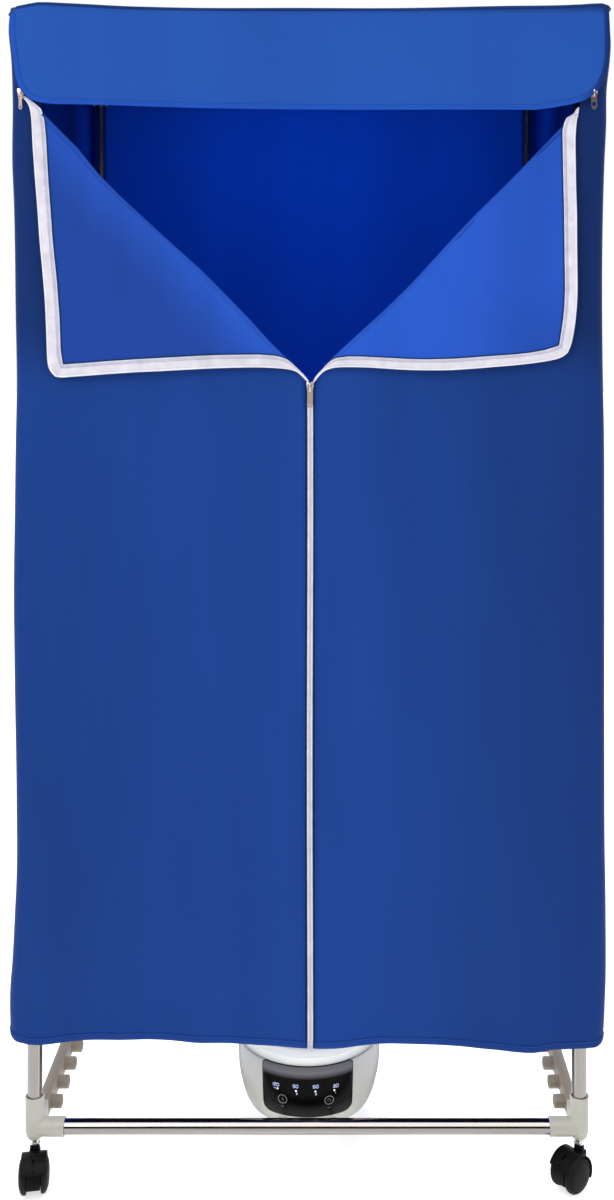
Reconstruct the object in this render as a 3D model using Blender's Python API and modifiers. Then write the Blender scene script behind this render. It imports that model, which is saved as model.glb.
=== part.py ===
"""Portable clothes dryer: tube frame on casters, fabric cover with a zipped
front, and a blower-heater unit low in the middle of the bottom frame.

Metres, +Z up. The front faces -Y, +X is to the right of someone facing the
front. The origin is on the floor at the middle of the footprint.
"""
import math

import bmesh
import bpy
from mathutils import Matrix, Vector

# ---------------------------------------------------------------- dimensions
GAP = 0.0003              # air between pieces that rest on each other

POST_X = 0.3445           # post axes, left and right of the middle
POST_Y = 0.2200           # post axes, in front of and behind the middle
TUBE_R = 0.0093           # stainless tube, outer radius
TUBE_WALL = 0.0008
Z_LOW = 0.0710            # axis height of the bottom cross tubes
Z_HIGH = 1.4660           # axis height of the top cross tubes

BODY_R = 0.0116           # corner connector: vertical sleeve
SLEEVE_R = 0.0115         # corner connector: cross-tube sleeve
SLEEVE_END = 0.0380       # how far that sleeve reaches from the post axis
BORE_R = 0.0098
BORE_START = 0.0160
BODY_UP = 0.0400          # sleeve reaches this far from the tube axis level
BODY_DOWN = 0.0135        # and this far on the closed side
TOP_UP = 0.0205           # the same reach at the top corners, whose sleeves are short
POST_SEAT = 0.0175        # tube axis level to the bottom of the post bore
TOP_SEAT = 0.0060         # the same at the top corners

RAIL_X = 0.3410           # side rail: middle of the plank
RAIL_HALF = 0.0065
RAIL_LOW = -0.0070        # plank edges, from the tube axis level
RAIL_TOP = 0.0180
RAIL_END = 0.1950         # plank reaches this far fore and aft
TENON_END = 0.2055
PEG_Z = 0.0045
PEG_R = 0.0083
PEG_LEN = 0.0145
PEG_PITCH = 0.0435
PEG_COUNT = 9

WHEEL_R = 0.0220          # twin-wheel casters
HOOD_R = 0.0243
HOOD_IN = 0.0228
TRAIL = 0.0170
WHEEL_SIDES = 20          # each wheel rests on one flat of its tread
CASTERS = {               # name: (x side, y side, direction the wheels trail, degrees from +X)
    "front_left": (-1, -1, -80.0),
    "front_right": (1, -1, -141.0),
    "rear_left": (-1, 1, 90.0),
    "rear_right": (1, 1, 135.0),
}

UNIT_Y = -0.1050          # heater unit: axis of the round housing
UNIT_WALL = 0.0022

SHEET = 0.0012            # half the thickness that stands for cloth
FRONT_Y = -0.2380         # middle of the door panels
SIDE_X = 0.3710
BACK_Y = 0.2380
TOP_Z = 1.4855
HEM_Z = 0.1860
HEAD_Z = 1.3565           # lower edge of the header band
DOOR_TOP = 1.3520
ZIP_X = 0.0042            # centre zip
APEX_Z = 1.0170           # where the two folded corners meet
FOLD_X = 0.3400           # outer end of each fold, measured from the zip
FLAP_Y = -0.2446          # middle of the folded corners
HINGE_Y = (FRONT_Y + FLAP_Y) / 2

# ------------------------------------------------------------------ clearing
for old in list(bpy.data.objects):
    bpy.data.objects.remove(old, do_unlink=True)

parts = bpy.data.collections.new("clothes_dryer")
cutters = bpy.data.collections.new("cutters")
bpy.context.scene.collection.children.link(parts)
bpy.context.scene.collection.children.link(cutters)

# ----------------------------------------------------------------- materials
PALETTE = {
    "stainless": ((0.62, 0.60, 0.58), 0.22, 1.0),
    "connector": ((0.66, 0.66, 0.58), 0.45, 0.0),
    "rail": ((0.50, 0.45, 0.38), 0.50, 0.0),
    "caster_black": ((0.02, 0.02, 0.02), 0.42, 0.0),
    "chrome": ((0.75, 0.75, 0.75), 0.12, 1.0),
    "housing": ((0.80, 0.80, 0.78), 0.30, 0.0),
    "panel": ((0.012, 0.012, 0.014), 0.08, 0.0),
    "grille": ((0.55, 0.55, 0.54), 0.45, 0.0),
    "motor": ((0.30, 0.30, 0.31), 0.40, 1.0),
    "impeller": ((0.10, 0.10, 0.11), 0.45, 0.0),
    "heater": ((0.55, 0.54, 0.52), 0.40, 1.0),
    "board": ((0.03, 0.22, 0.08), 0.55, 0.0),
    "cloth": ((0.015, 0.075, 0.40), 0.62, 0.0),
    "cloth_light": ((0.02, 0.10, 0.52), 0.60, 0.0),
    "zip_metal": ((0.45, 0.36, 0.28), 0.35, 1.0),
}


def material(name):
    """One Principled material per kind of piece, made on first use."""
    if name in bpy.data.materials:
        return bpy.data.materials[name]
    colour, rough, metal = PALETTE[name]
    mat = bpy.data.materials.new(name)
    mat.use_nodes = True
    shader = mat.node_tree.nodes["Principled BSDF"]
    shader.inputs["Base Color"].default_value = (*colour, 1.0)
    shader.inputs["Roughness"].default_value = rough
    shader.inputs["Metallic"].default_value = metal
    mat.diffuse_color = (*colour, 1.0)
    return mat


# ------------------------------------------------------------------- helpers
def add(name, mesh, kind=None):
    """Link a mesh as a named part, or as a hidden cutter when kind is None."""
    obj = bpy.data.objects.new(name, mesh)
    if kind is None:
        cutters.objects.link(obj)
        obj.hide_render = True
        obj.display_type = "WIRE"
    else:
        parts.objects.link(obj)
        obj.data.materials.append(material(kind))
    return obj


def box_mesh(name, low, high, bevel=0.0):
    """A box between two corners."""
    bm = bmesh.new()
    bmesh.ops.create_cube(bm, size=1.0)
    low, high = Vector(low), Vector(high)
    for v in bm.verts:
        v.co = Vector(((low[i] + high[i]) / 2 + v.co[i] * (high[i] - low[i]) for i in range(3)))
    if bevel:
        bmesh.ops.bevel(bm, geom=bm.edges[:], offset=bevel, segments=1, affect="EDGES", profile=0.5)
    mesh = bpy.data.meshes.new(name)
    bm.to_mesh(mesh)
    bm.free()
    return mesh


def boxes_mesh(name, spans):
    """Several separate boxes in one mesh, for use as one cutter."""
    bm = bmesh.new()
    for low, high in spans:
        made = bmesh.ops.create_cube(bm, size=1.0)["verts"]
        for v in made:
            v.co = Vector(((low[i] + high[i]) / 2 + v.co[i] * (high[i] - low[i]) for i in range(3)))
    mesh = bpy.data.meshes.new(name)
    bm.to_mesh(mesh)
    bm.free()
    return mesh


def round_bar_mesh(name, start, end, radius, sides=16):
    """A solid round bar between two points."""
    start, end = Vector(start), Vector(end)
    bm = bmesh.new()
    bmesh.ops.create_cone(bm, cap_ends=True, segments=sides, radius1=radius, radius2=radius,
                          depth=(end - start).length)
    turn = (end - start).to_track_quat("Z", "Y").to_matrix().to_4x4()
    bmesh.ops.transform(bm, matrix=Matrix.Translation((start + end) / 2) @ turn, verts=bm.verts)
    mesh = bpy.data.meshes.new(name)
    bm.to_mesh(mesh)
    bm.free()
    mesh.shade_smooth()
    mesh.set_sharp_from_angle(angle=math.radians(40))
    return mesh


def turned(name, profile, kind, place=None, sides=16, loop=False):
    """A turned piece: the (radius, height) profile runs down its outer side."""
    mesh = bpy.data.meshes.new(name)
    count = len(profile)
    edges = [(i, i + 1) for i in range(count - 1)]
    if loop:
        edges.append((count - 1, 0))
    mesh.from_pydata([(r, 0.0, z) for r, z in profile], edges, [])
    obj = add(name, mesh, kind)
    screw = obj.modifiers.new("turn", "SCREW")
    screw.axis = "Z"
    screw.angle = 2 * math.pi
    screw.steps = sides
    screw.render_steps = sides
    screw.use_merge_vertices = True
    screw.merge_threshold = 0.00005
    screw.use_smooth_shade = True
    screw.use_normal_calculate = False
    if place is not None:
        obj.matrix_world = place
    return obj


def along(start, end):
    """Placement that stands a piece's own Z axis on the line start to end."""
    start, end = Vector(start), Vector(end)
    turn = (end - start).to_track_quat("Z", "Y").to_matrix().to_4x4()
    return Matrix.Translation(start) @ turn


def hollow_tube(name, start, end, radius, wall, kind, sides=16):
    """A straight length of tube."""
    length = (Vector(end) - Vector(start)).length
    loop = [(radius, length), (radius, 0.0), (radius - wall, 0.0), (radius - wall, length)]
    return turned(name, loop, kind, along(start, end), sides, loop=True)


def boolean(obj, other, how="DIFFERENCE"):
    mod = obj.modifiers.new(other.name, "BOOLEAN")
    mod.operation = how
    mod.solver = "EXACT"
    mod.object = other
    return mod


def plate(name, outline, y_low, y_high, kind):
    """A flat sheet piece: an outline in X and Z, between two Y levels."""
    curve = bpy.data.curves.new(name, "CURVE")
    curve.dimensions = "2D"
    curve.fill_mode = "BOTH"
    curve.extrude = (y_high - y_low) / 2
    spline = curve.splines.new("POLY")
    spline.points.add(len(outline) - 1)
    for point, (x, z) in zip(spline.points, outline):
        point.co = (x, z, 0.0, 1.0)
    spline.use_cyclic_u = True
    source = bpy.data.objects.new(name + "_outline", curve)
    cutters.objects.link(source)
    source.matrix_world = Matrix.Translation((0, (y_low + y_high) / 2, 0)) @ Matrix.Rotation(math.pi / 2, 4, "X")
    bpy.context.view_layer.update()
    graph = bpy.context.evaluated_depsgraph_get()
    mesh = bpy.data.meshes.new_from_object(source.evaluated_get(graph))
    mesh.name = name
    mesh.transform(source.matrix_world)
    bpy.data.objects.remove(source, do_unlink=True)
    bm = bmesh.new()
    bm.from_mesh(mesh)
    bmesh.ops.remove_doubles(bm, verts=bm.verts, dist=0.00002)
    bmesh.ops.recalc_face_normals(bm, faces=bm.faces)
    bm.to_mesh(mesh)
    bm.free()
    mesh.materials.clear()
    return add(name, mesh, kind)


def axis_empty(name, point):
    empty = bpy.data.objects.new(name, None)
    empty.empty_display_size = 0.02
    empty.location = point
    parts.objects.link(empty)
    return empty


def hang_on(obj, empty):
    """Parent a piece to its joint's empty, leaving it where it is."""
    obj.parent = empty
    obj.matrix_parent_inverse = Matrix.Translation(-Vector(empty.location))


# ---------------------------------------------------------- corner connectors
def connector(name, sx, sy, top):
    """Sleeve for the post, sleeve for the cross tube, pocket for the side rail.

    sx and sy are the signs of the corner; top flips it upside down.
    """
    x, y = sx * POST_X, sy * POST_Y
    level = Z_HIGH if top else Z_LOW
    up = -1 if top else 1
    reach, seat = (TOP_UP, TOP_SEAT) if top else (BODY_UP, POST_SEAT)

    def z(offset):
        return level + up * offset

    outer = [(0.0, reach), (BODY_R - 0.0008, reach), (BODY_R, reach - 0.0008),
             (BODY_R, -0.0060), (0.0095, -0.0118), (0.0080, -BODY_DOWN), (0.0, -BODY_DOWN)]
    if top:
        outer = [(r, -h) for r, h in reversed(outer)]
    body = turned(name, outer, "connector", Matrix.Translation((x, y, level)))

    sleeve = add(name + "_sleeve", round_bar_mesh(name + "_sleeve", (x, y, level),
                                                  (x - sx * SLEEVE_END, y, level), SLEEVE_R))
    boolean(body, sleeve, "UNION")
    pocket_x = sx * RAIL_X
    zs = sorted((z(RAIL_LOW - 0.0022), z(RAIL_TOP + 0.0022)))
    ys = sorted((y, sy * (RAIL_END + GAP)))
    block = add(name + "_block", box_mesh(name + "_block", (pocket_x - 0.0080, ys[0], zs[0]),
                                          (pocket_x + 0.0080, ys[1], zs[1]), 0.0012))
    boolean(body, block, "UNION")

    post_bore = add(name + "_post_bore", round_bar_mesh(name + "_post_bore", (x, y, z(seat)),
                                                        (x, y, z(reach + 0.004)), BORE_R))
    boolean(body, post_bore)
    cross_bore = add(name + "_cross_bore", round_bar_mesh(name + "_cross_bore", (x - sx * BORE_START, y, level),
                                                          (x - sx * (SLEEVE_END + 0.004), y, level), BORE_R))
    boolean(body, cross_bore)
    zs = sorted((z(-0.0030), z(0.0140)))
    ys = sorted((sy * (TENON_END + GAP), sy * (RAIL_END - 0.004)))
    pocket = add(name + "_pocket", box_mesh(name + "_pocket", (pocket_x - 0.0045, ys[0], zs[0]),
                                            (pocket_x + 0.0045, ys[1], zs[1])))
    boolean(body, pocket)
    if not top:
        stem_hole = add(name + "_stem_hole", round_bar_mesh(name + "_stem_hole", (x, y, z(-BODY_DOWN - 0.004)),
                                                            (x, y, z(0.0125)), 0.0060, 16))
        boolean(body, stem_hole)
    return body


CORNERS = {"front_left": (-1, -1), "front_right": (1, -1), "rear_left": (-1, 1), "rear_right": (1, 1)}
for place, (sx, sy) in CORNERS.items():
    connector("connector_bottom_" + place, sx, sy, False)
    connector("connector_top_" + place, sx, sy, True)

# --------------------------------------------------------------- frame tubes
for place, (sx, sy) in CORNERS.items():
    hollow_tube("post_" + place, (sx * POST_X, sy * POST_Y, Z_LOW + POST_SEAT + GAP),
                (sx * POST_X, sy * POST_Y, Z_HIGH - TOP_SEAT - GAP), TUBE_R, TUBE_WALL, "stainless")
for place, sy in (("front", -1), ("rear", 1)):
    reach = POST_X - BORE_START - GAP
    hollow_tube("bottom_tube_" + place, (-reach, sy * POST_Y, Z_LOW), (reach, sy * POST_Y, Z_LOW),
                TUBE_R, TUBE_WALL, "stainless")
    hollow_tube("top_tube_" + place, (-reach, sy * POST_Y, Z_HIGH), (reach, sy * POST_Y, Z_HIGH),
                TUBE_R, TUBE_WALL, "stainless")


# ---------------------------------------------------------------- side rails
def peg_ys():
    first = -(PEG_COUNT - 1) / 2 * PEG_PITCH
    return [first + i * PEG_PITCH for i in range(PEG_COUNT)]


def peg_rail(name, sx, level, up):
    """A plank between two connectors with a row of round pegs on its inner side."""
    x = sx * RAIL_X
    zs = sorted((level + up * RAIL_LOW, level + up * RAIL_TOP))
    plank = add(name, box_mesh(name, (x - RAIL_HALF, -RAIL_END, zs[0]), (x + RAIL_HALF, RAIL_END, zs[1]), 0.0012),
                "rail")
    zs = sorted((level + up * -0.0027, level + up * 0.0137))
    tenons = add(name + "_tenons", boxes_mesh(name + "_tenons", [
        ((x - 0.0042, -TENON_END, zs[0]), (x + 0.0042, -RAIL_END + 0.003, zs[1])),
        ((x - 0.0042, RAIL_END - 0.003, zs[0]), (x + 0.0042, TENON_END, zs[1]))]))
    boolean(plank, tenons, "UNION")
    bm = bmesh.new()
    for y in peg_ys():
        made = bmesh.ops.create_cone(bm, cap_ends=True, segments=10, radius1=PEG_R, radius2=PEG_R,
                                     depth=PEG_LEN + 0.003)["verts"]
        centre = (x - sx * (RAIL_HALF + (PEG_LEN - 0.003) / 2), y, level + up * PEG_Z)
        bmesh.ops.transform(bm, matrix=Matrix.Translation(centre) @ Matrix.Rotation(math.pi / 2, 4, "Y"), verts=made)
    mesh = bpy.data.meshes.new(name + "_pegs")
    bm.to_mesh(mesh)
    bm.free()
    boolean(plank, add(name + "_pegs", mesh), "UNION")
    return plank


for side, sx in (("left", -1), ("right", 1)):
    peg_rail("peg_rail_bottom_" + side, sx, Z_LOW, 1)
    peg_rail("peg_rail_top_" + side, sx, Z_HIGH, -1)

# Hanging rods: tubes slipped over two opposite pegs of the top rails.
ROD_REACH = RAIL_X - RAIL_HALF - GAP
for place, index in (("front", 2), ("rear", 6)):
    y = peg_ys()[index]
    hollow_tube("hanging_rod_" + place, (-ROD_REACH, y, Z_HIGH - PEG_Z), (ROD_REACH, y, Z_HIGH - PEG_Z),
                TUBE_R, 0.0006, "stainless")


# ------------------------------------------------------- heater cradle bars
def cradle_bar(name, x):
    """Bent bar from the front cross tube to the rear one, dropped under the heater."""
    tube_face = POST_Y - TUBE_R - GAP
    low = 0.0410
    route = [(-tube_face, Z_LOW - 0.001), (-0.2010, 0.0685), (-0.1945, 0.0600), (-0.1880, 0.0480), (-0.1800, low),
             (-0.1050, low), (-0.0300, low), (-0.0200, 0.0480), (-0.0120, 0.0600), (-0.0030, 0.0690),
             (0.0100, Z_LOW - 0.001), (tube_face, Z_LOW - 0.001)]
    curve = bpy.data.curves.new(name, "CURVE")
    curve.dimensions = "3D"
    curve.bevel_depth = 0.0030
    curve.bevel_resolution = 2
    curve.use_fill_caps = True
    spline = curve.splines.new("POLY")
    spline.points.add(len(route) - 1)
    for point, (y, z) in zip(spline.points, route):
        point.co = (x, y, z, 1.0)
    source = bpy.data.objects.new(name + "_route", curve)
    cutters.objects.link(source)
    bpy.context.view_layer.update()
    graph = bpy.context.evaluated_depsgraph_get()
    mesh = bpy.data.meshes.new_from_object(source.evaluated_get(graph))
    mesh.name = name
    bpy.data.objects.remove(source, do_unlink=True)
    bm = bmesh.new()
    bm.from_mesh(mesh)
    bmesh.ops.remove_doubles(bm, verts=bm.verts, dist=0.00002)
    bmesh.ops.recalc_face_normals(bm, faces=bm.faces)
    bm.to_mesh(mesh)
    bm.free()
    mesh.materials.clear()
    obj = add(name, mesh, "stainless")
    mesh.shade_smooth()
    mesh.set_sharp_from_angle(angle=math.radians(40))
    return obj


cradle_bar("heater_cradle_left", -0.0350)
cradle_bar("heater_cradle_right", 0.0350)


# ------------------------------------------------------------------- casters
def caster(place, sx, sy, degrees):
    """Stem, hood and a pair of wheels on one axle."""
    x, y = sx * POST_X, sy * POST_Y
    turn = math.radians(degrees)
    trail = Vector((math.cos(turn), math.sin(turn), 0))
    axle = Vector((-math.sin(turn), math.cos(turn), 0))
    hub = Vector((x, y, WHEEL_R)) + trail * TRAIL
    swivel = axis_empty("swivel_axis_" + place, (x, y, 0.05))

    stem = turned("caster_stem_" + place,
                  [(0.0, 0.0825), (0.0040, 0.0825), (0.0055, 0.0805), (0.0055, 0.0520), (0.0065, 0.0520),
                   (0.0065, 0.0505), (0.0045, 0.0505), (0.0045, 0.0440), (0.0, 0.0440)],
                  "chrome", Matrix.Translation((x, y, 0)), 12)

    frame = along(hub, hub + axle)
    ring = [(HOOD_R, 0.0155), (HOOD_R, -0.0155), (HOOD_IN, -0.0155), (HOOD_IN, 0.0155)]
    hood = turned("caster_hood_" + place, ring, "caster_black", frame, 16, loop=True)
    neck = add("neck_" + place, round_bar_mesh("neck_" + place, (x, y, 0.0290), (x, y, 0.0500), 0.0063, 12))
    boolean(hood, neck, "UNION")
    room = add("wheel_room_" + place, round_bar_mesh("wheel_room_" + place, hub - axle * 0.02, hub + axle * 0.02,
                                                     HOOD_IN - 0.0002))
    boolean(hood, room)
    low = add("low_cut_" + place, box_mesh("low_cut_" + place, hub - Vector((0.04, 0.04, 0.04)),
                                           (hub.x + 0.04, hub.y + 0.04, 0.0125)))
    boolean(hood, low)
    face_mesh = box_mesh("face_cut_" + place, (0.004, -0.04, -0.04), (0.04, 0.04, 0.0107))
    face_mesh.transform(Matrix.Translation(hub) @ Matrix.Rotation(turn, 4, "Z"))
    face = add("face_cut_" + place, face_mesh)
    boolean(hood, face)
    web = add("web_" + place, round_bar_mesh("web_" + place, hub - axle * 0.0046, hub + axle * 0.0046,
                                             HOOD_IN + 0.0006))
    web_cut = add("web_cut_" + place, box_mesh("web_cut_" + place, hub - Vector((0.04, 0.04, 0.04)),
                                               (hub.x + 0.04, hub.y + 0.04, 0.0035)))
    boolean(web, web_cut)
    boolean(hood, web, "UNION")
    hole = add("axle_hole_" + place, round_bar_mesh("axle_hole_" + place, hub - axle * 0.02, hub + axle * 0.02,
                                                    0.0026, 12))
    boolean(hood, hole)
    socket = add("stem_socket_" + place, round_bar_mesh("stem_socket_" + place, (x, y, 0.0436), (x, y, 0.0560),
                                                        0.0050, 12))
    boolean(hood, socket)

    half = [(0.0, 0.0200), (0.0110, 0.0194), (0.0190, 0.0170), (0.0220, 0.0146), (0.0220, 0.0072),
            (0.0206, 0.0052), (0.0022, 0.0052)]
    flat = math.cos(math.pi / WHEEL_SIDES)
    half = [(r / flat if r > 0.0200 else r, z) for r, z in half]
    wheels = turned("caster_wheels_" + place, half + [(r, -z) for r, z in reversed(half)], "caster_black",
                    frame @ Matrix.Rotation(math.pi / WHEEL_SIDES, 4, "Z"), WHEEL_SIDES)
    for piece in (stem, hood, wheels):
        hang_on(piece, swivel)


for place, (sx, sy, degrees) in CASTERS.items():
    caster(place, sx, sy, degrees)

# --------------------------------------------------------------- heater unit
unit = Matrix.Translation((0, UNIT_Y, 0))
BOWL = [(0.0950, 0.1345), (0.0950, 0.1050), (0.0943, 0.0926), (0.0904, 0.0735), (0.0845, 0.0560), (0.0800, 0.0485),
        (0.0740, 0.0450), (0.0680, 0.0444)]
inner = [(r - UNIT_WALL, z) for r, z in BOWL[:5]] + [(0.0775, 0.0500), (0.0680, 0.0468)]
bowl = turned("heater_base_shell", [(0.0, 0.0468)] + list(reversed(inner)) + BOWL + [(0.0, 0.0444)], "housing",
              unit, 28)
intake = add("intake_slots", boxes_mesh("intake_slots", [
    ((side * 0.0540 - 0.0100, UNIT_Y + row * 0.0130 - 0.0030, 0.0400),
     (side * 0.0540 + 0.0100, UNIT_Y + row * 0.0130 + 0.0030, 0.0520)) for side in (-1, 1) for row in (-1, 0, 1)]))
boolean(bowl, intake)
gland_hole = add("gland_hole", round_bar_mesh("gland_hole", (0, UNIT_Y + 0.0800, 0.1000), (0, UNIT_Y + 0.1100, 0.1000),
                                              0.0058, 16))
boolean(bowl, gland_hole)

turned("heater_top_shell",
       [(0.0740, 0.1860), (0.0740, 0.1520), (0.0775, 0.1485), (0.0880, 0.1425), (0.0932, 0.1390), (0.0945, 0.1350),
        (0.0918, 0.1350), (0.0910, 0.1378), (0.0868, 0.1402), (0.0762, 0.1462), (0.0718, 0.1505), (0.0718, 0.1860)],
       "housing", unit, 28, loop=True)

# Control panel: a curved skin over the front of the bowl, cut to its outline.
skin = [(r + 0.0022, z) for r, z in [(0.0950, 0.1330), (0.0950, 0.1050), (0.0943, 0.0926), (0.0904, 0.0735),
                                     (0.0878, 0.0655)]]
back = [(r - 0.0022 + 0.0004, z) for r, z in skin]
panel = turned("control_panel", skin + list(reversed(back)), "panel", unit, 28, loop=True)
window = add("panel_outline", box_mesh("panel_outline", (-0.0580, UNIT_Y - 0.12, 0.05), (0.0580, UNIT_Y - 0.03, 0.15)))
boolean(panel, window, "INTERSECT")

grille = turned("outlet_grille", [(0.0, 0.1830), (0.0710, 0.1830), (0.0710, 0.1800), (0.0, 0.1800)], "grille", unit, 20)
slots = []
for row in range(-2, 3):
    y = row * 0.0220
    reach = math.sqrt(0.0620 ** 2 - y ** 2)
    slots.append(((-reach, UNIT_Y + y - 0.0075, 0.1700), (-0.0030, UNIT_Y + y + 0.0075, 0.1900)))
    slots.append(((0.0030, UNIT_Y + y - 0.0075, 0.1700), (reach, UNIT_Y + y + 0.0075, 0.1900)))
boolean(grille, add("grille_slots", boxes_mesh("grille_slots", slots)))

turned("fan_motor", [(0.0, 0.1020), (0.0030, 0.1020), (0.0030, 0.0790), (0.0100, 0.0790), (0.0100, 0.0760),
                     (0.0290, 0.0760), (0.0300, 0.0750), (0.0300, 0.0472), (0.0, 0.0472)], "motor", unit, 16)
fan = turned("fan_impeller", [(0.0170, 0.1010), (0.0190, 0.0990), (0.0190, 0.0840), (0.0034, 0.0840),
                              (0.0034, 0.1010)], "impeller", unit, 16, loop=True)
bm = bmesh.new()
for i in range(7):
    made = bmesh.ops.create_cube(bm, size=1.0)["verts"]
    size = Matrix.Diagonal((0.0480, 0.0180, 0.0018, 1.0))
    place = (Matrix.Translation((0, UNIT_Y, 0.0925)) @ Matrix.Rotation(2 * math.pi * i / 7, 4, "Z")
             @ Matrix.Translation((0.0410, 0, 0)) @ Matrix.Rotation(math.radians(34), 4, "X") @ size)
    bmesh.ops.transform(bm, matrix=place, verts=made)
blades = bpy.data.meshes.new("fan_blades")
bm.to_mesh(blades)
bm.free()
boolean(fan, add("fan_blades", blades), "UNION")

ptc = add("ptc_heater", box_mesh("ptc_heater", (-0.0830, UNIT_Y - 0.0260, 0.1120), (0.0830, UNIT_Y + 0.0260, 0.1280),
                                 0.0010), "heater")
boolean(ptc, add("ptc_gaps", boxes_mesh("ptc_gaps", [
    ((-0.0760, UNIT_Y + row * 0.0115 - 0.0035, 0.1000), (0.0760, UNIT_Y + row * 0.0115 + 0.0035, 0.1400))
    for row in (-1.5, -0.5, 0.5, 1.5)])))

add("control_board", box_mesh("control_board", (-0.0320, UNIT_Y - 0.0780, 0.0800), (0.0320, UNIT_Y - 0.0764, 0.1200)), "board")

turned("cord_gland", [(0.0, 0.0150), (0.0045, 0.0150), (0.0060, 0.0040), (0.0090, 0.0032), (0.0090, 0.0004),
                      (0.0054, 0.0004), (0.0054, -0.0060), (0.0, -0.0060)], "caster_black",
       along((0, UNIT_Y + 0.0950, 0.1000), (0, UNIT_Y + 0.1150, 0.1000)), 16)

# --------------------------------------------------------------- cloth cover
EDGE_X = SIDE_X + SHEET
plate("cover_back", [(-EDGE_X, HEM_Z), (EDGE_X, HEM_Z), (EDGE_X, TOP_Z - 0.002), (-EDGE_X, TOP_Z - 0.002)],
      BACK_Y - SHEET, BACK_Y + SHEET, "cloth")
for side, sx in (("left", -1), ("right", 1)):
    xs = sorted((sx * (SIDE_X - SHEET), sx * (SIDE_X + SHEET)))
    add("cover_" + side, box_mesh("cover_" + side, (xs[0], FRONT_Y + SHEET + 0.0006, HEM_Z),
                                  (xs[1], BACK_Y - SHEET - 0.0006, TOP_Z - 0.002)), "cloth")
add("cover_top", box_mesh("cover_top", (-EDGE_X, FRONT_Y - 0.0050, TOP_Z - SHEET), (EDGE_X, BACK_Y + SHEET, TOP_Z + SHEET)),
    "cloth")
add("cover_header", box_mesh("cover_header", (-EDGE_X, FRONT_Y - 0.0050, HEAD_Z), (EDGE_X, FRONT_Y + 0.0008, TOP_Z - 0.002)),
    "cloth_light")

for side, sx in (("left", -1), ("right", 1)):
    near = ZIP_X + sx * 0.0004
    far = ZIP_X + sx * FOLD_X
    plate("cover_front_" + side, [(sx * EDGE_X, HEM_Z), (near, HEM_Z), (near, APEX_Z), (far, DOOR_TOP),
                                  (sx * EDGE_X, DOOR_TOP)], FRONT_Y - SHEET, FRONT_Y + SHEET, "cloth")

# Folded door corners. Each turns about its own slanted fold; shut, it fills
# its half of the opening, level with the door panel below it.
INSET = 0.0012
for side, sx in (("left", -1), ("right", 1)):
    low = Vector((ZIP_X + sx * 0.0008, APEX_Z))
    high = Vector((ZIP_X + sx * FOLD_X, DOOR_TOP))
    line = (high - low).normalized()
    across = Vector((-line.y, line.x))
    corner = Vector((ZIP_X + sx * 0.0008, DOOR_TOP))
    if (corner - low).dot(across) < 0:
        across = -across
    foot = low + line * (corner - low).dot(line)
    turned_corner = foot * 2 - corner
    start = low + line * 0.0140 - across * INSET
    stop = high - line * 0.0060 - across * INSET
    # the corner's two free edges, shortened beside the slider and the header
    edge_low = low + (turned_corner - low).normalized() * 0.0120
    edge_high = high + (turned_corner - high).normalized() * 0.0060
    flap = plate("door_flap_" + side,
                 [tuple(start), tuple(edge_low), tuple(turned_corner), tuple(edge_high), tuple(stop)],
                 FLAP_Y - SHEET, FLAP_Y + SHEET, "cloth_light")
    hang_on(flap, axis_empty("fold_axis_" + side, (low.x, HINGE_Y, low.y)))

# ------------------------------------------------------------------ zip pulls
def slider(name, x, z, y_back, tab_len):
    """A slider body with a bridge loop, and the tab that swings on it."""
    body = add("zip_slider_" + name, box_mesh("zip_slider_" + name, (x - 0.0042, y_back - 0.0030, z - 0.0060),
                                              (x + 0.0042, y_back, z + 0.0060), 0.0006), "zip_metal")
    bridge = add(name + "_bridge", box_mesh(name + "_bridge", (x - 0.0011, y_back - 0.0060, z - 0.0042),
                                            (x + 0.0011, y_back - 0.0020, z + 0.0044), 0.0004))
    boolean(body, bridge, "UNION")
    eye = add(name + "_eye", box_mesh(name + "_eye", (x - 0.0040, y_back - 0.0048, z - 0.0028),
                                      (x + 0.0040, y_back - 0.0030 - 0.0001, z + 0.0030)))
    boolean(body, eye)
    # The tab: a flat plate whose crossbar lies in the eye of the bridge.
    y_tab = y_back - 0.00395
    tab = add("pull_tab_" + name, box_mesh("pull_tab_" + name, (x - 0.0030, y_tab - 0.0005, z - tab_len),
                                           (x + 0.0030, y_tab + 0.0005, z + 0.0005)), "zip_metal")
    slot = add(name + "_slot", box_mesh(name + "_slot", (x - 0.0016, y_tab - 0.0030, z - 0.0065),
                                        (x + 0.0016, y_tab + 0.0030, z - 0.0005)))
    boolean(tab, slot)
    run = axis_empty("zip_run_" + name, (x, y_back, z))
    swing = axis_empty("tab_axis_" + name, (x, y_tab, z))
    hang_on(body, run)
    hang_on(tab, swing)


slider("centre", ZIP_X, 1.0080, FRONT_Y - SHEET - GAP, 0.0260)
slider("left", -0.3560, 1.3740, FRONT_Y - 0.0050 - GAP, 0.0210)
slider("right", 0.3580, 1.3740, FRONT_Y - 0.0050 - GAP, 0.0210)

for obj in parts.objects:
    if obj.type == "MESH" and any(m.type == "BOOLEAN" for m in obj.modifiers):
        obj.data.shade_smooth()
        obj.data.set_sharp_from_angle(angle=math.radians(35))
bpy.context.view_layer.update()
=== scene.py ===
"""Looks of the portable clothes dryer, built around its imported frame."""
import math

import bmesh
import bpy
import numpy as np
from mathutils import Matrix, Vector


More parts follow.
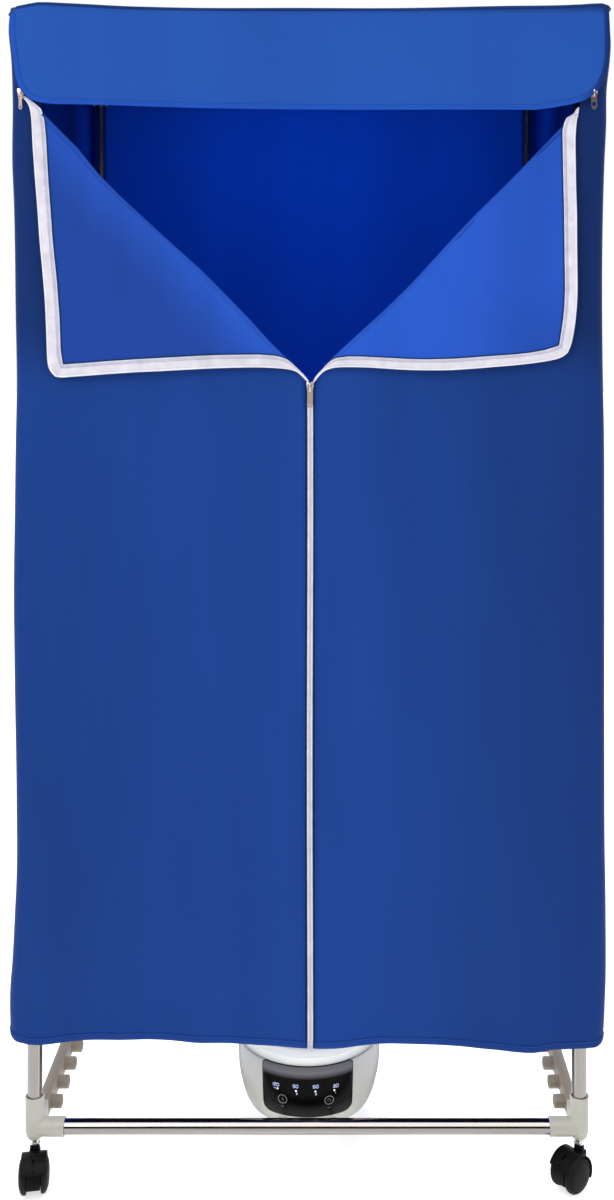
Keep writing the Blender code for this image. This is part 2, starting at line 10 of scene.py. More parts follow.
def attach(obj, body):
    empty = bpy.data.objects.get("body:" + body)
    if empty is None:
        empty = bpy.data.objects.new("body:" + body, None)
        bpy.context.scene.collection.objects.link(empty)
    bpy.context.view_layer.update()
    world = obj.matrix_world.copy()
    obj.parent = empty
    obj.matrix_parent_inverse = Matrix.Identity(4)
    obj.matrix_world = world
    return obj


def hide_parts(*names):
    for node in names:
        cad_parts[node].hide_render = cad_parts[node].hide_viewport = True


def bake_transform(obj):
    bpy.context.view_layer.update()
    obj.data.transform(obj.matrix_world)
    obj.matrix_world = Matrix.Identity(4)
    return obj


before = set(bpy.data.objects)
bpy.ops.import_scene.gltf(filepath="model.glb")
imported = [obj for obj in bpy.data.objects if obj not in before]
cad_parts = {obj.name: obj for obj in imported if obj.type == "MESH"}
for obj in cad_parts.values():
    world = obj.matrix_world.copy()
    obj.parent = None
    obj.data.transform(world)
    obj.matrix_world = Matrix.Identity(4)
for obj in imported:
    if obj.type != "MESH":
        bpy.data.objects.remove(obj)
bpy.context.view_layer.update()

# ------------------------------------------------------------------ dimensions
POST_X, POST_Y = 0.3445, 0.2200
TUBE_R = 0.0093
Z_LOW, Z_HIGH = 0.0710, 1.4660
RAIL_X, RAIL_HALF = 0.3410, 0.0065
UNIT_Y = -0.1050
FRONT_Y, BACK_Y = -0.2380, 0.2380
DOOR_TOP, ZIP_X, APEX_Z, FOLD_X = 1.3520, 0.0042, 1.0170, 0.3400
HINGE_Y = -0.2413
COVER_TOP = 1.4835
WHEEL_R, TRAIL, HOOD_R = 0.0220, 0.0170, 0.0243
CORNERS = {"front_left": (-1, -1, -80.0), "front_right": (1, -1, -141.0),
           "rear_left": (-1, 1, 90.0), "rear_right": (1, 1, 135.0)}


# --------------------------------------------------------------------- helpers
def smooth(t):
    t = np.clip(t, 0.0, 1.0)
    return t * t * (3 - 2 * t)


def curve_of(points):
    """A monotone-ish smooth lookup through (key, value) points."""
    keys = np.array([p[0] for p in points], float)
    vals = np.array([p[1] for p in points], float)

    def at(k):
        k = np.clip(np.asarray(k, float), keys[0], keys[-1])
        i = np.clip(np.searchsorted(keys, k) - 1, 0, len(keys) - 2)
        t = (k - keys[i]) / (keys[i + 1] - keys[i])
        slopes = np.gradient(vals, keys)
        h = keys[i + 1] - keys[i]
        h00, h10 = 2 * t ** 3 - 3 * t ** 2 + 1, t ** 3 - 2 * t ** 2 + t
        h01, h11 = -2 * t ** 3 + 3 * t ** 2, t ** 3 - t ** 2
        return h00 * vals[i] + h10 * h * slopes[i] + h01 * vals[i + 1] + h11 * h * slopes[i + 1]

    return at


def line_of(points):
    keys = [p[0] for p in points]
    vals = [p[1] for p in points]
    return lambda k: np.interp(k, keys, vals)


def resample(points, count):
    """Points evenly spaced along a polyline."""
    pts = np.array(points, float)
    steps = np.r_[0, np.cumsum(np.linalg.norm(np.diff(pts, axis=0), axis=1))]
    at = np.linspace(0, steps[-1], count)
    return np.stack([np.interp(at, steps, pts[:, k]) for k in range(pts.shape[1])], axis=1)


def rounded(points, passes=2):
    """Corner-cut a polyline so that it runs smoothly."""
    pts = np.array(points, float)
    for _ in range(passes):
        q, r = pts[:-1] * 0.75 + pts[1:] * 0.25, pts[:-1] * 0.25 + pts[1:] * 0.75
        mid = np.empty((len(q) * 2, pts.shape[1]))
        mid[0::2], mid[1::2] = q, r
        pts = np.vstack([pts[:1], mid, pts[-1:]])
    return pts


def piece(name, verts, faces, mats, body="frame", replaces=(), smoothed=True, angle=None):
    mesh = bpy.data.meshes.new(name)
    mesh.from_pydata([tuple(map(float, v)) for v in verts], [], faces)
    mesh.validate()
    for m in mats if isinstance(mats, (list, tuple)) else [mats]:
        mesh.materials.append(m)
    if smoothed:
        mesh.shade_smooth()
        if angle:
            mesh.set_sharp_from_angle(angle=math.radians(angle))
    obj = bpy.data.objects.new(name, mesh)
    bpy.context.scene.collection.objects.link(obj)
    if body:
        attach(obj, body)
    if replaces:
        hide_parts(*replaces)
    return obj


def grid_faces(rows, cols, flip=False, wrap_cols=False, wrap_rows=False, base=0):
    faces = []
    for i in range(rows if wrap_rows else rows - 1):
        for j in range(cols if wrap_cols else cols - 1):
            a, b = i * cols + j, i * cols + (j + 1) % cols
            c, d = ((i + 1) % rows) * cols + (j + 1) % cols, ((i + 1) % rows) * cols + j
            q = (a, b, c, d) if not flip else (a, d, c, b)
            faces.append(tuple(base + k for k in q))
    return faces


def orient(obj, outward):
    """Turn a sheet so that its faces look along outward(point)."""
    total = 0.0
    for poly in obj.data.polygons:
        total += poly.normal.dot(Vector(outward(poly.center))) * poly.area
    if total < 0:
        obj.data.flip_normals()
    return obj


def forward(_):
    return (0.0, -1.0, 0.0)


def around(p):
    return (p[0], p[1], 0.0)


def cloth_thickness(obj, thick, two_sided=False, offset=-1.0):
    mod = obj.modifiers.new("thickness", "SOLIDIFY")
    mod.thickness = thick
    mod.offset = offset
    mod.use_even_offset = False
    if two_sided:
        mod.material_offset = 1
    return mod


class Shape:
    """Collects closed bits of mesh into one piece."""

    def __init__(self):
        self.verts, self.faces, self.slots = [], [], []

    def add(self, verts, faces, slot=0):
        base = len(self.verts)
        self.verts += [tuple(map(float, v)) for v in verts]
        self.faces += [tuple(base + k for k in f) for f in faces]
        self.slots += [slot] * len(faces)
        return self

    def lathe(self, profile, start, along, segs=40, slot=0, closed=False, x_axis=None):
        """Turned shape: (radius, distance) pairs about the line from start in direction along."""
        along = Vector(along).normalized()
        x = Vector(x_axis) if x_axis is not None else along.orthogonal()
        x = (x - along * x.dot(along)).normalized()
        y = along.cross(x)
        verts, rings = [], []
        for r, t in profile:
            centre = Vector(start) + along * t
            if r < 1e-7:
                rings.append([len(verts)])
                verts.append(centre)
            else:
                rings.append(list(range(len(verts), len(verts) + segs)))
                verts += [centre + (x * math.cos(2 * math.pi * k / segs) + y * math.sin(2 * math.pi * k / segs)) * r
                          for k in range(segs)]
        faces = []
        pairs = list(zip(rings, rings[1:])) + ([(rings[-1], rings[0])] if closed else [])
        for a, b in pairs:
            for k in range(segs):
                n = (k + 1) % segs
                if len(a) == 1 and len(b) == 1:
                    continue
                if len(a) == 1:
                    faces.append((a[0], b[n], b[k]))
                elif len(b) == 1:
                    faces.append((a[k], a[n], b[0]))
                else:
                    faces.append((a[k], a[n], b[n], b[k]))
        return self.add(verts, faces, slot)

    def box(self, low, high, slot=0, bevel=0.0, segments=2, matrix=None):
        bm = bmesh.new()
        bmesh.ops.create_cube(bm, size=1.0)
        low, high = Vector(low), Vector(high)
        for v in bm.verts:
            v.co = Vector([(low[i] + high[i]) / 2 + v.co[i] * (high[i] - low[i]) for i in range(3)])
        if bevel:
            bmesh.ops.bevel(bm, geom=bm.edges[:], offset=bevel, segments=segments, affect="EDGES", profile=0.5)
        if matrix is not None:
            bmesh.ops.transform(bm, matrix=matrix, verts=bm.verts)
        bm.verts.index_update()
        self.add([v.co.copy() for v in bm.verts], [tuple(v.index for v in f.verts) for f in bm.faces], slot)
        bm.free()
        return self

    def tube(self, path, radius, segs=10, slot=0, closed=False, caps=True):
        """Round bar along a path; radius may be one number or one for each point."""
        pts = [Vector(p) for p in path]
        n = len(pts)
        radii = [radius] * n if not hasattr(radius, "__len__") else list(radius)
        verts = []
        side = None
        for i, p in enumerate(pts):
            a = pts[i - 1] if (i or closed) else p
            b = pts[(i + 1) % n] if (i < n - 1 or closed) else p
            t = (b - a).normalized()
            if side is None:
                side = t.orthogonal().normalized()
            side = (side - t * side.dot(t)).normalized()
            up = t.cross(side)
            verts += [p + (side * math.cos(2 * math.pi * k / segs) + up * math.sin(2 * math.pi * k / segs)) * radii[i]
                      for k in range(segs)]
        faces = []
        for i in range(n if closed else n - 1):
            for k in range(segs):
                a, b = i * segs, ((i + 1) % n) * segs
                faces.append((a + k, a + (k + 1) % segs, b + (k + 1) % segs, b + k))
        if caps and not closed:
            faces.append(tuple(reversed(range(segs))))
            faces.append(tuple((n - 1) * segs + k for k in range(segs)))
        return self.add(verts, faces, slot)

    def prism(self, outline, low, high, slot=0, matrix=None, bevel=0.0):
        """An outline in X and Z made solid between two Y levels."""
        n = len(outline)
        verts = [Vector((x, low, z)) for x, z in outline] + [Vector((x, high, z)) for x, z in outline]
        faces = [tuple(range(n)), tuple(reversed(range(n, 2 * n)))]
        faces += [(k, n + k, n + (k + 1) % n, (k + 1) % n) for k in range(n)]
        bm = bmesh.new()
        vs = [bm.verts.new(v) for v in verts]
        for f in faces:
            bm.faces.new([vs[k] for k in f])
        bmesh.ops.recalc_face_normals(bm, faces=bm.faces)
        if bevel:
            bmesh.ops.bevel(bm, geom=bm.edges[:], offset=bevel, segments=2, affect="EDGES", profile=0.5)
        if matrix is not None:
            bmesh.ops.transform(bm, matrix=matrix, verts=bm.verts)
        bm.verts.index_update()
        self.add([v.co.copy() for v in bm.verts], [tuple(v.index for v in f.verts) for f in bm.faces], slot)
        bm.free()
        return self

    def make(self, name, mats, body="frame", replaces=(), slot=None, angle=35):
        obj = piece(name, self.verts, self.faces, mats, body, replaces, True, None)
        obj.data.polygons.foreach_set("material_index", self.slots)
        bm = bmesh.new()
        bm.from_mesh(obj.data)
        bmesh.ops.recalc_face_normals(bm, faces=bm.faces)
        bm.to_mesh(obj.data)
        bm.free()
        obj.data.shade_smooth()
        obj.data.set_sharp_from_angle(angle=math.radians(angle))
        return obj


# ------------------------------------------------------------------- materials
def new_material(name, base, rough=0.5, metal=0.0, **sockets):
    mat = bpy.data.materials.new(name)
    mat.use_nodes = True
    tree = mat.node_tree
    bsdf = tree.nodes["Principled BSDF"]
    bsdf.inputs["Base Color"].default_value = (*base, 1.0)
    bsdf.inputs["Roughness"].default_value = rough
    bsdf.inputs["Metallic"].default_value = metal
    for key, value in sockets.items():
        sock = bsdf.inputs[key.replace("_", " ")]
        sock.default_value = value
    mat.diffuse_color = (*base, 1.0)
    return mat, tree, bsdf


def node(tree, kind, inputs=None, **props):
    n = tree.nodes.new("ShaderNode" + kind)
    for k, v in props.items():
        setattr(n, k, v)
    for k, v in (inputs or {}).items():
        if isinstance(v, bpy.types.NodeSocket):
            tree.links.new(v, n.inputs[k])
        else:
            n.inputs[k].default_value = v
    return n


def math_node(tree, op, a, b=None):
    n = tree.nodes.new("ShaderNodeMath")
    n.operation = op
    for k, v in enumerate([a] if b is None else [a, b]):
        if isinstance(v, bpy.types.NodeSocket):
            tree.links.new(v, n.inputs[k])
        else:
            n.inputs[k].default_value = v
    return n.outputs[0]


def scaled(tree, vector, scale):
    return node(tree, "Mapping", {"Vector": vector, "Scale": scale}).outputs["Vector"]


def mix_colour(tree, factor, a, b):
    n = node(tree, "Mix", data_type="RGBA")
    tree.links.new(factor, n.inputs["Factor"])
    n.inputs["A"].default_value = (*a, 1.0)
    n.inputs["B"].default_value = (*b, 1.0)
    for s in n.inputs:
        if s.type == "RGBA" and s.name == "A":
            s.default_value = (*a, 1.0)
        if s.type == "RGBA" and s.name == "B":
            s.default_value = (*b, 1.0)
    return next(o for o in n.outputs if o.type == "RGBA")


def remap(tree, value, a, b, c, d):
    return node(tree, "MapRange", {"Value": value, "From Min": a, "From Max": b, "To Min": c, "To Max": d}).outputs[0]


def shade(colour, k):
    return tuple(max(0.0, c * k) for c in colour)


def step_of(tree, value, a, b):
    """0 at a, 1 at b, eased between."""
    return node(tree, "MapRange", {"Value": value, "From Min": a, "From Max": b}, interpolation_type="SMOOTHSTEP").outputs[0]


def darkened(tree, mask, amount):
    """1 where the mask is 0, 1 - amount where it is 1."""
    return math_node(tree, "SUBTRACT", 1.0, math_node(tree, "MULTIPLY", mask, amount))


def cloth(name, base, pitch=0.00055, flat=False, streak=0.10, rough=0.50, wrinkle=0.22, gloss=0.08, painted_shade_by=None):
    """Coated plain-weave polyester: fine warp and weft, faint streaks, soft creases, hardly any gloss."""
    mat, tree, bsdf = new_material(name, base, rough)
    bsdf.inputs["Specular IOR Level"].default_value = gloss
    pos = node(tree, "TexCoord").outputs["Object"]
    xyz = node(tree, "SeparateXYZ", {"Vector": pos})
    turn = 2 * math.pi / pitch
    warp = xyz.outputs["X"] if flat else math_node(tree, "ADD", xyz.outputs["X"], xyz.outputs["Y"])
    weft = xyz.outputs["Y"] if flat else xyz.outputs["Z"]
    wave_a = math_node(tree, "SINE", math_node(tree, "MULTIPLY", warp, turn))
    wave_b = math_node(tree, "SINE", math_node(tree, "MULTIPLY", weft, turn))
    weave = math_node(tree, "MULTIPLY", wave_a, wave_b)
    broad = node(tree, "TexNoise", {"Vector": scaled(tree, pos, (9.0, 9.0, 1.4) if not flat else (5, 5, 5)),
                                    "Scale": 1.0, "Detail": 3.0, "Roughness": 0.55})
    fine = node(tree, "TexNoise", {"Vector": pos, "Scale": 620.0, "Detail": 2.0})
    tone = math_node(tree, "ADD", remap(tree, broad.outputs[0], 0.3, 0.7, 0.0, 1.0),
                     remap(tree, fine.outputs[0], 0.3, 0.7, -0.16, 0.16))
    tone = math_node(tree, "ADD", tone, math_node(tree, "MULTIPLY", weave, 0.12))
    colour = mix_colour(tree, tone, shade(base, 1 - streak), shade(base, 1 + streak))
    # painted shade: when a shade mask function is given, the base colour is multiplied by its darkening
    if painted_shade_by:
        depth = node(tree, "VectorMath", {0: colour}, operation="SCALE")
        tree.links.new(painted_shade_by(tree, xyz), depth.inputs["Scale"])
        colour = depth.outputs[0]
    tree.links.new(colour, bsdf.inputs["Base Color"])
    tree.links.new(remap(tree, fine.outputs[0], 0.3, 0.7, rough - 0.06, rough + 0.08), bsdf.inputs["Roughness"])
    crease = node(tree, "TexNoise", {"Vector": scaled(tree, pos, (26.0, 26.0, 9.0)), "Scale": 1.0, "Detail": 4.0,
                                     "Roughness": 0.5, "Distortion": 0.3})
    soft = node(tree, "Bump", {"Height": crease.outputs[0], "Strength": wrinkle, "Distance": 0.0035})
    threads = node(tree, "Bump", {"Height": weave, "Strength": 0.35, "Distance": 0.00010,
                                  "Normal": soft.outputs["Normal"]})
    tree.links.new(threads.outputs["Normal"], bsdf.inputs["Normal"])
    return mat


def plastic(name, base, rough=0.42, grain=900.0, strength=0.12, mottled=0.05, **more):
    mat, tree, bsdf = new_material(name, base, rough, **more)
    pos = node(tree, "TexCoord").outputs["Object"]
    skin = node(tree, "TexNoise", {"Vector": pos, "Scale": grain, "Detail": 3.0, "Roughness": 0.6})
    patch = node(tree, "TexNoise", {"Vector": pos, "Scale": 34.0, "Detail": 3.0})
    tree.links.new(mix_colour(tree, remap(tree, patch.outputs[0], 0.3, 0.7, 0.0, 1.0), shade(base, 1 - mottled),
                              shade(base, 1 + mottled)), bsdf.inputs["Base Color"])
    tree.links.new(remap(tree, patch.outputs[0], 0.3, 0.7, rough - 0.05, rough + 0.06), bsdf.inputs["Roughness"])
    bump = node(tree, "Bump", {"Height": skin.outputs[0], "Strength": strength, "Distance": 0.00025})
    tree.links.new(bump.outputs["Normal"], bsdf.inputs["Normal"])
    return mat


def metal(name, base, rough=0.2, stretch=(1.0, 1.0, 1.0), scale=500.0, strength=0.05):
    """Drawn or polished metal; stretch sets which way its fine lines run."""
    mat, tree, bsdf = new_material(name, base, rough, 1.0)
    pos = node(tree, "TexCoord").outputs["Object"]
    lines = node(tree, "TexNoise", {"Vector": scaled(tree, pos, stretch), "Scale": scale, "Detail": 3.0})
    smear = node(tree, "TexNoise", {"Vector": pos, "Scale": 22.0, "Detail": 3.0})
    tree.links.new(mix_colour(tree, remap(tree, lines.outputs[0], 0.3, 0.7, 0.0, 1.0), shade(base, 0.93),
                              shade(base, 1.05)), bsdf.inputs["Base Color"])
    tree.links.new(math_node(tree, "ADD", remap(tree, lines.outputs[0], 0.3, 0.7, rough - 0.04, rough + 0.04),
                             remap(tree, smear.outputs[0], 0.3, 0.7, -0.02, 0.04)), bsdf.inputs["Roughness"])
    bump = node(tree, "Bump", {"Height": lines.outputs[0], "Strength": strength, "Distance": 0.0001})
    tree.links.new(bump.outputs["Normal"], bsdf.inputs["Normal"])
    return mat


def webbing(name, base, pitch=0.0009):
    """Woven zip tape: fine ribs both ways."""
    mat, tree, bsdf = new_material(name, base, 0.62, Sheen_Weight=0.2)
    pos = node(tree, "TexCoord").outputs["Object"]
    xyz = node(tree, "SeparateXYZ", {"Vector": pos})
    turn = 2 * math.pi / pitch
    ribs = math_node(tree, "MULTIPLY", math_node(tree, "SINE", math_node(tree, "MULTIPLY", xyz.outputs["X"], turn)),
                     math_node(tree, "SINE", math_node(tree, "MULTIPLY", xyz.outputs["Z"], turn)))
    blot = node(tree, "TexNoise", {"Vector": pos, "Scale": 60.0, "Detail": 4.0})
    tone = math_node(tree, "ADD", remap(tree, blot.outputs[0], 0.3, 0.7, 0.1, 0.9), math_node(tree, "MULTIPLY", ribs, 0.3))
    tree.links.new(mix_colour(tree, tone, shade(base, 0.82), shade(base, 1.10)), bsdf.inputs["Base Color"])
    bump = node(tree, "Bump", {"Height": ribs, "Strength": 0.4, "Distance": 0.0002})
    tree.links.new(bump.outputs["Normal"], bsdf.inputs["Normal"])
    return mat


def cover_painted_shade(tree, xyz):
    """Painted shade: the front is a little darker towards both sides, and darkest on the strips beside the open door.
    """
    x, y, z = xyz.outputs["X"], xyz.outputs["Y"], xyz.outputs["Z"]
    right = darkened(tree, step_of(tree, x, 0.05, 0.36), 0.29)
    left = darkened(tree, step_of(tree, x, -0.06, -0.33), 0.13)
    face = step_of(tree, y, -0.205, -0.232)
    beside = math_node(tree, "MULTIPLY", step_of(tree, math_node(tree, "ABSOLUTE", x), 0.300, 0.335),
                       step_of(tree, z, 1.000, 1.090))
    strip = darkened(tree, math_node(tree, "MULTIPLY", beside, face), 0.36)
    return math_node(tree, "MULTIPLY", math_node(tree, "MULTIPLY", right, left), strip)


def header_painted_shade(tree, xyz):
    """Painted shade: the header is darker just under the roof seam and along its right edge, and a little at its left
    edge.
    """
    x, z = xyz.outputs["X"], xyz.outputs["Z"]
    under = math_node(tree, "MULTIPLY", step_of(tree, z, 1.4700, 1.4860), step_of(tree, x, -0.420, 0.200))
    edge = step_of(tree, x, 0.3690, 0.3780)
    left = step_of(tree, x, -0.3640, -0.3710)
    return math_node(tree, "MULTIPLY", darkened(tree, under, 0.62),
                     math_node(tree, "MULTIPLY", darkened(tree, edge, 0.50), darkened(tree, left, 0.22)))


# painted shade: the left door corner is darker away from the zip and towards its lower part
def left_flap_painted_shade(tree, xyz):
    x, z = xyz.outputs["X"], xyz.outputs["Z"]
    below_fold = math_node(tree, "ADD", z, x)
    return math_node(tree, "MULTIPLY", darkened(tree, step_of(tree, x, -0.040, -0.200), 0.16),
                     darkened(tree, step_of(tree, below_fold, 1.040, 0.920), 0.36))


# painted shade: the right door corner is darker towards its outer side and in its lower outer part
def right_flap_painted_shade(tree, xyz):
    beside = darkened(tree, step_of(tree, xyz.outputs["X"], 0.200, 0.300), 0.16)
    low = math_node(tree, "MULTIPLY", step_of(tree, xyz.outputs["X"], 0.170, 0.290), step_of(tree, xyz.outputs["Z"], 1.160, 1.060))
    return math_node(tree, "MULTIPLY", beside, darkened(tree, low, 0.14))


def hem_painted_shade(tree, xyz):
    """Painted shade: the header's binding is darker at its right end."""
    return darkened(tree, step_of(tree, xyz.outputs["X"], 0.3300, 0.3720), 0.66)


def inside_painted_shade(tree, xyz):
    """Painted shade: inside, the two side walls are darker beside the upper corners of the doorway."""
    side = math_node(tree, "MULTIPLY", step_of(tree, math_node(tree, "ABSOLUTE", xyz.outputs["X"]), 0.348, 0.360),
                     step_of(tree, xyz.outputs["Y"], 0.225, 0.130))
    high = step_of(tree, xyz.outputs["Z"], 1.150, 1.300)
    return darkened(tree, math_node(tree, "MULTIPLY", side, high), 0.66)


CLOTH_OUT = cloth("cover_cloth", (0.0090, 0.0510, 0.2650), painted_shade_by=cover_painted_shade)
CLOTH_FOLD = cloth("fold_cloth", (0.0090, 0.0510, 0.2650))
# painted shade and bounce light: the inner face of the shell, roof and header gets a deeper, more saturated blue than
# the door corners show for the same face
CLOTH_IN_SHADED = cloth("cover_cloth_inside_shaded", (0.0010, 0.0400, 0.4550), rough=0.60, gloss=0.02, painted_shade_by=inside_painted_shade)
# painted light: both door corners show the inner face of the cloth, each given its own brighter copy of it
CLOTH_LEFT_LIT = cloth("left_door_cloth_lit", (0.0230, 0.1030, 0.5900), rough=0.56, painted_shade_by=left_flap_painted_shade)
CLOTH_RIGHT_LIT = cloth("right_door_cloth_lit", (0.0210, 0.0980, 0.5700), rough=0.56, painted_shade_by=right_flap_painted_shade)
# painted light: the header and its binding are brighter copies of the cover cloth, as the puffed header catches more
# light from above
CLOTH_HEAD_LIT = cloth("header_cloth_lit", (0.0160, 0.0860, 0.4050), streak=0.06, wrinkle=0.16, painted_shade_by=header_painted_shade)
CLOTH_HEM_LIT = cloth("header_hem_cloth_lit", (0.0125, 0.0790, 0.4500), streak=0.06, wrinkle=0.16, painted_shade_by=hem_painted_shade)
CLOTH_ROOF = cloth("roof_cloth", (0.0100, 0.0560, 0.3000), flat=True)
PIPING = cloth("piping_cloth", (0.0090, 0.0360, 0.1500), pitch=0.0012, streak=0.15, wrinkle=0.5)
# painted shadow: a near-black cloth for thin beads along the tape edges, in place of the shadow lines there
EDGE_SHADOW_CLOTH = cloth("door_edge_shadow_cloth", (0.0080, 0.0240, 0.0850), pitch=0.0012, streak=0.15, wrinkle=0.5)
THREAD = plastic("stitch_thread", (0.0250, 0.0850, 0.4200), 0.6, 2400.0, 0.5)
THREAD_WHITE = plastic("white_thread", (0.5000, 0.4700, 0.5600), 0.6, 2400.0, 0.5)
TAPE = webbing("zip_tape", (0.7400, 0.7150, 0.8000), 0.0021)
# painted light on the zip tape: a lighter copy for the ridge beside the teeth and the centre tape, a darker copy as
# painted shade in the groove, and a bluish lighter copy as painted highlight along the edges
TAPE_LIT = webbing("zip_tape_lit", (0.9000, 0.9000, 0.9800))
TAPE_GROOVE_SHADE = webbing("zip_tape_groove_shade", (0.5700, 0.5500, 0.6800))
TAPE_EDGE_LIT = webbing("zip_tape_edge_lit", (0.7800, 0.8400, 0.9800))
# painted shade: the closed centre chain uses a darker copy of the coil plastic
COIL_SHADED = plastic("closed_zip_coil_shaded", (0.6400, 0.6300, 0.6900), 0.45, 1500.0, 0.2)
COIL = plastic("zip_coil", (0.8800, 0.8700, 0.9500), 0.40, 1500.0, 0.2)
SLIDER_METAL = metal("slider_metal", (0.7600, 0.6900, 0.6600), 0.26, scale=900.0, strength=0.2)
TAB_METAL = metal("tab_metal", (0.5200, 0.4150, 0.4000), 0.30, scale=900.0, strength=0.25)
TAB_DARK = metal("tab_bronze", (0.2700, 0.2050, 0.2000), 0.30, scale=900.0, strength=0.25)
STEEL_UP = metal("steel_upright", (0.3600, 0.3380, 0.3150), 0.17, (1.0, 1.0, 0.01))
# painted shade: the cross tubes and rods get a darker copy of the uprights' steel
STEEL_ACROSS = metal("steel_cross", (0.3150, 0.2950, 0.2750), 0.13, (0.01, 1.0, 1.0))
STEEL_BAR = metal("steel_bar", (0.5600, 0.5500, 0.5400), 0.28, (1.0, 0.05, 1.0))
CHROME = metal("stem_chrome", (0.7400, 0.7300, 0.7200), 0.12, scale=300.0)
IVORY = plastic("connector_plastic", (0.4500, 0.4420, 0.3850), 0.44, 700.0, 0.10)
RAIL = plastic("rail_plastic", (0.2500, 0.2150, 0.1600), 0.50, 600.0, 0.14)
BLACK = plastic("caster_plastic", (0.0028, 0.0028, 0.0030), 0.46, 1400.0, 0.35, 0.15, Specular_IOR_Level=0.08)
TYRE = plastic("wheel_plastic", (0.0060, 0.0060, 0.0063), 0.50, 1400.0, 0.35, 0.10, Specular_IOR_Level=0.11)
HOUSING = plastic("housing_plastic", (0.5650, 0.5650, 0.4950), 0.34, 420.0, 0.05, 0.012, Coat_Weight=0.10,
                  Coat_Roughness=0.30)
GRILLE = plastic("grille_plastic", (0.5600, 0.5650, 0.5550), 0.42, 700.0, 0.12)
RUBBER = plastic("foot_rubber", (0.0300, 0.0300, 0.0310), 0.75, 900.0, 0.4)
IMPELLER = plastic("impeller_plastic", (0.0300, 0.0300, 0.0320), 0.40, 900.0, 0.15)
MOTOR = metal("motor_steel", (0.3600, 0.3600, 0.3700), 0.34, (1, 1, 0.05), 400.0, 0.2)
FINS = metal("heater_fins", (0.5600, 0.5500, 0.5300), 0.40, (1, 0.05, 1), 600.0, 0.3)
BOARD = plastic("board_green", (0.0150, 0.1500, 0.0500), 0.45, 1200.0, 0.2, 0.2)
INK = plastic("panel_ink", (0.5600, 0.5600, 0.5900), 0.4, 1200.0, 0.05)


def glowing(name, colour, strength):
    mat, tree, bsdf = new_material(name, shade(colour, 0.5), 0.3)
    pos = node(tree, "TexCoord").outputs["Object"]
    spot = node(tree, "TexNoise", {"Vector": pos, "Scale": 700.0, "Detail": 1.0})
    tree.links.new(mix_colour(tree, spot.outputs[0], shade(colour, 0.42), shade(colour, 0.55)), bsdf.inputs["Base Color"])
    bsdf.inputs["Emission Color"].default_value = (*colour, 1.0)
    bsdf.inputs["Emission Strength"].default_value = strength
    return mat


LAMP = glowing("display_lamp", (0.55, 0.62, 1.0), 1.1)
LAMP_DOT = glowing("display_dot", (0.80, 0.86, 1.0), 1.2)


def touch_panel():
    """Gloss black window whose colour carries painted reflection: grey at its upper bevel and charcoal at its foot,
    black over the display.
    """
    mat, tree, bsdf = new_material("panel_gloss", (0.006, 0.006, 0.007), 0.24)
    bsdf.inputs["Specular IOR Level"].default_value = 0.06
    pos = node(tree, "TexCoord").outputs["Object"]
    z = node(tree, "SeparateXYZ", {"Vector": pos}).outputs["Z"]
    ramp = node(tree, "ValToRGB", {"Fac": remap(tree, z, 0.064, 0.134, 0.0, 1.0)})
    els = ramp.color_ramp.elements
    els[0].position, els[0].color = 0.0, (0.014, 0.014, 0.015, 1)
    els[1].position, els[1].color = 1.0, (0.115, 0.115, 0.118, 1)
    for at, grey in ((0.16, 0.018), (0.30, 0.0025), (0.79, 0.0025), (0.825, 0.060), (0.90, 0.170)):
        e = els.new(at)
        e.color = (grey, grey, grey * 1.05, 1)
    tree.links.new(ramp.outputs["Color"], bsdf.inputs["Base Color"])
    dust = node(tree, "TexNoise", {"Vector": pos, "Scale": 260.0, "Detail": 3.0})
    tree.links.new(remap(tree, dust.outputs[0], 0.3, 0.7, 0.20, 0.30), bsdf.inputs["Roughness"])
    return mat


PANEL = touch_panel()

# ----------------------------------------------------------------- cover shell
LEFT_X = curve_of([(0.170, -0.3700), (0.190, -0.3721), (0.240, -0.3742), (0.290, -0.3708), (0.340, -0.3683),
                   (0.390, -0.3660), (0.490, -0.3660), (0.640, -0.3683), (0.765, -0.3694), (0.840, -0.3683),
                   (0.940, -0.3671), (1.015, -0.3658), (1.090, -0.3671), (1.240, -0.3696), (1.290, -0.3716),
                   (1.3711, -0.3712), (1.4212, -0.3730), (1.4612, -0.3765), (1.4900, -0.3735)])
RIGHT_X = curve_of([(0.170, 0.3715), (0.190, 0.3740), (0.240, 0.3773), (0.340, 0.3780), (0.440, 0.3766),
                    (0.540, 0.3762), (0.840, 0.3758), (0.940, 0.3755), (1.040, 0.3736), (1.190, 0.3734),
                    (1.291, 0.3760), (1.3411, 0.3783), (1.3811, 0.3787), (1.4212, 0.3830), (1.4412, 0.3840),
                    (1.4612, 0.3825), (1.4900, 0.3815)])
FRONT_HEM = curve_of([(-0.3720, 0.1950), (-0.3687, 0.1936), (-0.3587, 0.1888), (-0.3487, 0.1863), (-0.3337, 0.1860),
                      (-0.3186, 0.1873), (-0.2986, 0.1897), (-0.2786, 0.1911), (-0.2285, 0.1912), (-0.1935, 0.1924),
                      (-0.1635, 0.1914), (-0.1384, 0.1889), (-0.0984, 0.1884), (-0.0633, 0.1862), (-0.0333, 0.1842),
                      (-0.0083, 0.1813), (0.0117, 0.1800), (0.0317, 0.1812), (0.0618, 0.1848), (0.0868, 0.1868),
                      (0.1319, 0.1860), (0.1719, 0.1848), (0.1969, 0.1832), (0.2169, 0.1811), (0.2420, 0.1787),
                      (0.2620, 0.1763), (0.2870, 0.1752), (0.2960, 0.1765), (0.3050, 0.1788), (0.3221, 0.1799),
                      (0.3500, 0.1811), (0.3640, 0.1816), (0.3721, 0.1850)])
